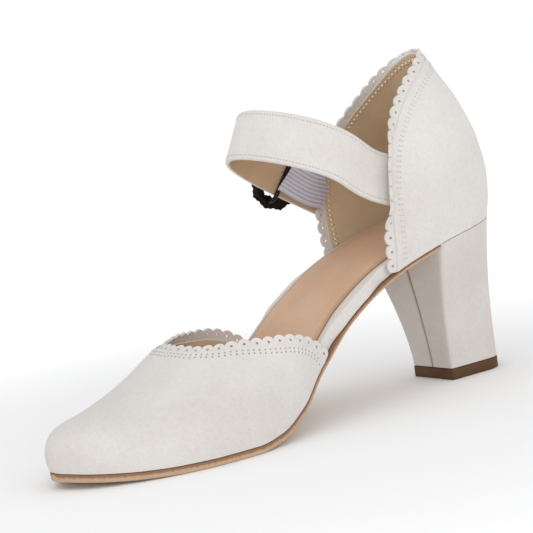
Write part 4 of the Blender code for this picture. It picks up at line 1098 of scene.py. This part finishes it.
def spline_through(points, values, count):
    """Smooth values along a chain of points, read at count evenly spaced places.

    The curve is a cubic from point to point over the chain's length, with no bend at its two ends.
    """
    knots = run_lengths(points)
    step = np.diff(knots)
    size = len(points)
    system, bends = np.eye(size), np.zeros_like(values)
    for k in range(1, size - 1):
        system[k, k - 1 : k + 2] = step[k - 1], 2 * (step[k - 1] + step[k]), step[k]
        bends[k] = 6 * ((values[k + 1] - values[k]) / step[k]
                        - (values[k] - values[k - 1]) / step[k - 1])
    bends = np.linalg.solve(system, bends)
    place = np.linspace(0, knots[-1], count)
    cell = np.clip(np.searchsorted(knots, place, side="right") - 1, 0, size - 2)
    h = step[cell][:, None]
    b = (place - knots[cell])[:, None] / h
    a = 1 - b
    return (a * values[cell] + b * values[cell + 1]
            + ((a**3 - a) * bends[cell] + (b**3 - b) * bends[cell + 1]) * h**2 / 6)


def band_frame(path, outward):
    """A band's outward face normal and the direction of its width, upwards."""
    along = unit(np.gradient(path, axis=0))
    width = unit(np.cross(outward, along))
    width *= np.sign(width[:, 2:])
    face = np.cross(along, width)
    return face * np.sign(np.sum(face * outward, axis=1, keepdims=True)), width


def strap_path(count):
    """Middle line of the strap with its outward face normals and its width directions."""
    girth, height = SEWN_TABLE[:, 0] * REACH[1], SEWN_TABLE[:, 1] * QUARTER_HEIGHT
    sewn = quarter_surface(girth, height, WALL + GAP + STRAP_SLACK + STRAP_THICK / 2)
    free = STRAP_TABLE[:, :3] * np.array([STRAP_REACH, STRAP_SPREAD, STRAP_RISE]) - ORIGIN
    along = np.gradient(np.concatenate((sewn[-1:], free)), axis=0)[1:]
    level_out = unit(np.stack((-along[:, 1], along[:, 0], 0 * along[:, 0]), axis=-1))
    level_out *= np.sign(level_out[:, :1])
    level_out[-4:] *= np.sign(-level_out[-4:, 1:2])
    tilt = np.radians(STRAP_TABLE[:, 3])[:, None]
    free_out = level_out * np.cos(tilt) + np.array([0, 0, 1]) * np.sin(tilt)
    points = np.concatenate((sewn, free))
    path = spline_through(points, points, count)
    outward = spline_through(points, np.concatenate((quarter_normal(girth, height), free_out)), count)
    face, width = band_frame(path, unit(outward))
    return path, face, width


def buckle_place():
    """Middle of the strap under the buckle, with its outward face normal and its width direction.

    It lies where the strap's outer half passes BUCKLE_FORWARD, a share of STRAP_REACH.
    """
    path, face, width = strap_path(50)
    outer_half = np.arange(len(path)) > np.argmax(path[:, 0])
    gap = np.abs(path[:, 0] + ORIGIN[0] - BUCKLE_FORWARD * STRAP_REACH)
    at = np.argmin(np.where(outer_half, gap, 1.0))
    return path[at], face[at], width[at]


def band_rings(path, face, width, half_width, thickness, ripple=0.0, ribs=0):
    """Rings of a flat band with round edges. Ribs run along it where ripple is above 0."""
    half = thickness / 2
    turn = np.radians(np.linspace(-90, 90, 9))
    flat = np.linspace(1, -1, 41 if ribs else 13)[1:-1]
    across = np.concatenate((1 + 0 * turn, flat, -1 + 0 * turn, flat[::-1]))
    edge = np.concatenate((np.cos(turn), 0 * flat, -np.cos(turn), 0 * flat))
    wave = ripple * np.cos(np.pi * ribs * flat) if ribs else 0 * flat
    lift = np.concatenate((half * np.sin(turn), half + wave, half * np.sin(turn[::-1]), -half - wave))
    body = (half_width - half)[:, None] * across + half * edge
    rings = path[:, None] + width[:, None] * body[..., None] + face[:, None] * lift[None, :, None]
    return rings, lift / half


def strap_piece():
    """Strap of suede over lining, with a rounded tail. Faces that look inwards get the lining."""
    path, face, width = strap_path(320)
    left = run_lengths(path[::-1])[::-1]
    round_off = np.clip(1 - left / TAIL_ROUND, 0, 0.995)
    half_width = np.maximum(STRAP_WIDTH / 2 * np.sqrt(1 - round_off**2), STRAP_THICK / 2 * 1.02)
    rings, _ = band_rings(path, face, width, half_width, STRAP_THICK)
    mesh = add_piece("strap_suede", [tube(rings)], [IVORY, STRAP_LINING], ["strap"]).data
    centres, normals = np.empty(len(mesh.polygons) * 3), np.empty(len(mesh.polygons) * 3)
    mesh.polygons.foreach_get("center", centres)
    mesh.polygons.foreach_get("normal", normals)
    centres, normals = centres.reshape(-1, 3), normals.reshape(-1, 3)
    near = np.argmin(np.linalg.norm(centres[:, None] - path[None, ::4], axis=-1), axis=1) * 4
    inside = np.sum(normals * face[near], axis=1) < -0.8
    mesh.polygons.foreach_set("material_index", inside.astype(np.int32))
    return path, face, width


strap = strap_piece()


# %% [markdown]
# ## Elastic
# A short ribbed web ties the buckle's bar to the inside of the quarter, so that the strap gives with
# the foot. Its ribs are a wave across a flat band, and the slant where it leaves the lining is made by
# sliding each thread along itself, which bends no rib.

# %% Elastic
SLANT_MIDDLE, SLANT = 0.13, 0.17


def slanted_start(rings, line, up):
    """Rings sheared near their start, so that the band's upper edge begins further along.

    Each point moves along its own lengthwise thread, by SLANT_MIDDLE of it at the band's middle and by
    SLANT more at its upper edge. The shift is greatest at the first ring.
    """
    rows, size = rings.shape[:2]
    climb = np.sum((rings - line[:, None]) * up[:, None], axis=-1).mean(axis=0) / (ELASTIC_WIDTH / 2)
    share = np.linspace(0, 1, rows)[:, None]
    start = np.clip(SLANT_MIDDLE + SLANT * climb, 0, SLANT_MIDDLE + SLANT)
    place = (start + (1 - start) * share) * (rows - 1)
    low = np.minimum(place.astype(int), rows - 2)
    part = (place - low)[..., None]
    column = np.arange(size)
    return rings[low, column] * (1 - part) + rings[low + 1, column] * part


def elastic_piece():
    """Ribbed elastic from inside the quarter to the buckle's bar."""
    rows = 120
    middle, face, _ = buckle_place()
    inside = WALL + GAP + ELASTIC_SLACK + ELASTIC_THICK / 2
    height = ELASTIC_TABLE[:, 0] * QUARTER_HEIGHT
    girth = quarter_edge(height, 2) - ELASTIC_TABLE[:, 1] * TRIM_WIDTH
    sewn = quarter_surface(girth, height, inside)
    bar = middle - face * (STRAP_THICK / 2 + 2 * GAP + BUCKLE_BAR + ELASTIC_THICK / 2)
    points = np.concatenate((sewn, [bar]))
    line = spline_through(points, points, rows)
    normals = np.concatenate((quarter_normal(girth, height), [face]))
    out, up = band_frame(line, unit(spline_through(points, normals, rows)))
    rings, level = band_rings(line, out, up, np.full(rows, ELASTIC_WIDTH / 2), ELASTIC_THICK,
                              ripple=0.13 * MM, ribs=9)
    rings = slanted_start(rings, line, up)
    # Its mark paints shade between the ribs and on the band's edges, and light on the ribs' crests.
    add_piece("elastic_ribs", [tube(rings, (np.abs(level) - 0.72) / 0.5)], [ELASTIC], ["elastic"])


elastic_piece()

# %% [markdown]
# ## Buckle
# A cast ring with a scrolled rim, a round bar under the strap and a pointed prong. Its relief could be
# carved, but waves of the two turns of the ring repeat it evenly. The mark is the relief's height, so
# the metal is worn bright on its crests and dark in its hollows.

# %% Buckle
BUCKLE_LENGTH, BUCKLE_RIM, BUCKLE_THICK = 26 * MM, 5.0 * MM, 2.2 * MM
SCROLL, LOBES, PLAY, BOW, CLEAR = 0.8 * MM, 12, 0.5 * MM, 0.8 * MM, 0.7 * MM
SQUARENESS, ROPE_TURNS, BEADS, RIM_SPREAD = 0.85, 60, 36, 1.04
PRONG, PRONG_KNEE = 1.6 * MM, 4 * MM


def bar_rings(line, out, radius):
    """Round rod along a line. radius is one value or one for each point."""
    along = unit(np.gradient(line, axis=0))
    lift = unit(out - along * np.sum(along * out, axis=-1, keepdims=True))
    size = np.broadcast_to(radius, (len(line),))[:, None]
    return ovals(line, np.cross(along, lift) * size, lift * size, 16)


MIDDLE, OUT, UP = buckle_place()
AXES = np.stack((unit(np.cross(UP, OUT)), UP, OUT))
HALF_LONG = (BUCKLE_LENGTH - BUCKLE_RIM) / 2
HALF_WIDE = STRAP_WIDTH / 2 + CLEAR + GAP + BUCKLE_RIM / 2
LIFT = STRAP_THICK / 2 + GAP + BUCKLE_THICK / 2 + PLAY


def on_buckle(along, up, out):
    """Points at distances from the buckle's middle, along the strap, up its width and off its face."""
    return MIDDLE + np.stack(np.broadcast_arrays(along, up, out), axis=-1) @ AXES


def scrolled_ring():
    """The ring, whose middle line is an oval drawn square by SQUARENESS and bowed to the foot.

    Its rim swells LOBES times round. Curls of relief cross its face between two roped borders.
    """
    turns = np.linspace(0, 2 * np.pi, 360, endpoint=False)
    c, q = np.cos(turns), np.sin(turns)
    ring = on_buckle(np.sign(c) * np.abs(c) ** SQUARENESS * HALF_LONG,
                     np.sign(q) * np.abs(q) ** SQUARENESS * HALF_WIDE, LIFT - BOW * c**2)
    ring = round_corners(ring[None], 6)[0]
    across = np.cross(OUT, unit(np.roll(ring, -1, axis=0) - np.roll(ring, 1, axis=0)))
    rim = (BUCKLE_RIM + SCROLL * np.cos(LOBES * turns)) / 2 * RIM_SPREAD
    turn = np.linspace(0, 2 * np.pi, 40, endpoint=False)
    side, top = np.cos(turn), np.sin(turn)
    turns = turns[:, None]
    curl = 5.0 * side * np.sign(np.sin(LOBES * turns / 2))
    relief = 0.5 + 0.5 * np.cos(LOBES * turns + curl)
    border = np.exp(-((np.abs(side) - 0.72) / 0.10) ** 2) * (0.6 + 0.4 * np.cos(ROPE_TURNS * turns))
    worn = np.clip(0.62 * relief * (np.abs(side) < 0.66) + border, 0, 1) * (top > 0)
    height = BUCKLE_THICK / 2 * (top * 0.80 + 0.36 * worn)
    spread = rim[:, None] * side * (1 + 0.07 * np.cos(BEADS * turns) * side**4)
    rings = ring[:, None] + across[:, None] * spread[..., None] + OUT * height[..., None]
    return block(rings, 0, worn, wrap_rows=True, wrap_cols=True)


def buckle_bar():
    """Round bar under the strap, bent up to the ring at both ends."""
    reach = np.sin(np.linspace(-np.pi / 2, np.pi / 2, 61))
    drop = STRAP_THICK / 2 + GAP + BUCKLE_BAR / 2
    line = on_buckle(0.0, reach * HALF_WIDE, (LIFT + drop) * np.abs(reach) ** 16 - drop)
    return tube(bar_rings(line, OUT, BUCKLE_BAR / 2), 0.1)


def buckle_tongue():
    """Pointed prong, through the strap, over its knee and across the ring's rim."""
    rest = LIFT - BOW + BUCKLE_THICK / 2 + GAP + PRONG / 2
    along = np.array([PRONG / 2, PRONG_KNEE, HALF_LONG - BUCKLE_RIM, HALF_LONG + BUCKLE_RIM / 2])
    out = np.array([GAP - STRAP_THICK / 2, STRAP_THICK / 2 + GAP + PRONG, rest, rest])
    points = on_buckle(along, 0.0, out)
    taper = PRONG / 2 * np.concatenate((np.linspace(1, 0.75, 50), np.linspace(0.74, 0.4, 10)))
    return tube(bar_rings(spline_through(points, points, 60), OUT, taper), 0.7)


frame_blocks = [scrolled_ring(), buckle_bar()]
add_piece("buckle_scrolls", frame_blocks, [SILVER], ["buckle_frame"], sharp=60.0)
add_piece("buckle_tongue", [buckle_tongue()], [SILVER], ["buckle_prong"], sharp=60.0)

# %% [markdown]
# ## Stitches
# Each stitch is a short arched thread whose ends sink into the leather, with a dark oval of painted
# shade for the needle hole at both ends. Rows follow the toplines at a fixed distance. A bump could
# draw them, but real threads catch the light from every side.

# %% Stitches
PIT_LIFT = 0.04 * MM


def thread_points(start, end, out, radius, lift):
    """Arched tubes from start to end points, one for each row of the arrays."""
    u = np.linspace(0, 1, 7)
    arch = lift * (1.5 * np.sin(np.pi * u) - 0.5)
    line = (start[:, None] + (end - start)[:, None] * u[None, :, None]
            + out[:, None] * arch[None, :, None])
    side = np.cross(unit(end - start), out)
    size = radius * (0.55 + 0.45 * np.sin(np.pi * u))[:, None]
    return ovals(line, side[:, None] * size, out[:, None] * size, 6)


def pit_points(centre, out, along, length, width, sides=8):
    """Small flat ovals just above the leather, as a rim drawn in to a middle, that carry the painted
    shade of holes.
    """
    rim = ovals(centre, along * length / 2, np.cross(out, along) * width / 2, sides)
    rims = np.stack((rim, np.broadcast_to(centre[:, None], rim.shape)), axis=1)
    return rims + out[:, None, None] * PIT_LIFT


def sew(name, starts, ends, outs, colours, radius=0.19 * MM, lift=0.12 * MM, pit=0.7 * MM):
    """One piece of threads and needle holes. colours are the thread's material and the painted shade of
    its holes.
    """
    along = unit(ends - starts)
    threads = block(thread_points(starts, ends, outs, radius, lift), 0, wrap_cols=True)
    pits = [block(pit_points(place, outs, along, pit, pit * 0.75), 1, wrap_cols=True)
            for place in (starts, ends)]
    add_piece(name, [threads] + pits, colours, (), sharp=60.0, merge=0)


def nearest(line, points):
    """The point of a finely divided line that is nearest to each of points."""
    return line[np.argmin(np.linalg.norm(points[:, None] - line[None], axis=-1), axis=1)]


def row_places(line, pitch, margin=1.5 * MM):
    """Even distances along a line, a pitch apart, from margin to margin."""
    total = run_lengths(line)[-1]
    count = int((total - 2 * margin) / pitch)
    return margin + (np.arange(count) + 0.5) * (total - 2 * margin) / count


def ladder(name, upper, lower, outs, pitch, colours, **thread):
    """Short stitches square across two lines, a pitch apart."""
    lengths = run_lengths(upper)
    place = row_places(upper, pitch)
    top = at_lengths(upper, lengths, place)
    sew(name, top, nearest(lower, top), unit(at_lengths(outs, lengths, place)), colours, **thread)


def running(name, line, outs, pitch, share, colours, **thread):
    """A row of stitches in line, each share of the pitch long."""
    lengths = run_lengths(line)
    place = row_places(line, pitch)
    half = pitch * share / 2
    out = unit(at_lengths(outs, lengths, place))
    sew(name, at_lengths(line, lengths, place - half), at_lengths(line, lengths, place + half), out,
        colours, **thread)


def smoothed(line, passes):
    """Each inner value of a line drawn towards the mean of its neighbours, passes times."""
    for _ in range(passes):
        line = np.concatenate((line[:1], (line[:-2] + 2 * line[1:-1] + line[2:]) / 4, line[-1:]))
    return line


def quarter_inside_edge(ahead, inset, count=700):
    """Line on the quarter at a distance inside its edge, with its normals.

    The edge is moved square to itself in the wall's flat pattern of girth and height.
    """
    girth, height = quarter_edge_line(count)
    flat = np.stack((girth, height), axis=1)
    along = unit(smoothed(np.gradient(flat, axis=0), 30))
    inner_way = np.stack((along[:, 1], -along[:, 0]), axis=1)
    moved = flat + inner_way * ahead
    girth, height = moved[(moved[:, 1] > 1.0 * MM) & (moved[:, 1] < QUARTER_HEIGHT)].T
    return quarter_surface(girth, height, inset), quarter_normal(girth, height)


upper, outs, _ = vamp_edge(1.6 * MM, 0.0, 1200)
ladder("vamp_stitches", upper, vamp_edge(3.1 * MM, 0.0, 1200)[0], outs, 2.3 * MM, [THREAD, PIT_SHADE],
       pit=0.9 * MM)
upper, outs = quarter_inside_edge(3.4 * MM, 0.0)
ladder("quarter_stitches", upper, quarter_inside_edge(4.7 * MM, 0.0)[0], outs, 2.3 * MM,
       [THREAD, PALE_PIT_SHADE])
upper, outs = quarter_inside_edge(1.5 * MM, WALL)
ladder("lining_stitches", upper, quarter_inside_edge(3.2 * MM, WALL)[0], -outs, 2.2 * MM,
       [CREAM, TAN_PIT_SHADE], radius=0.5 * MM, lift=0.32 * MM, pit=0.9 * MM)
path, face, width = strap
left = run_lengths(path[::-1])[::-1]
keep = left > TAIL_ROUND
for name, side in (("strap_upper_stitches", 1), ("strap_lower_stitches", -1)):
    row = path + width * side * (STRAP_WIDTH / 2 - 1.9 * MM) + face * STRAP_THICK / 2
    running(name, row[keep], face[keep], 2.8 * MM, 0.55, [THREAD, PALE_PIT_SHADE], pit=0.75 * MM)

# %% [markdown]
# ## Punched holes
# Two round holes along the strap's tail. The strap is thin, so each is a dark disc of painted shade on
# both faces.

# %% Punched holes
HOLE, HOLE_PLACES = 2.4 * MM, (11 * MM, 22 * MM)
place = np.array([np.argmin(np.abs(left - gap)) for gap in HOLE_PLACES])
along = unit(np.gradient(path, axis=0))[place]
discs = [pit_points(path[place] + out * STRAP_THICK / 2, out, along, HOLE, HOLE, 28)
         for out in (face[place], -face[place])]
add_piece("strap_holes", [block(disc, wrap_cols=True) for disc in discs], [HOLE_SHADE], (), merge=0)
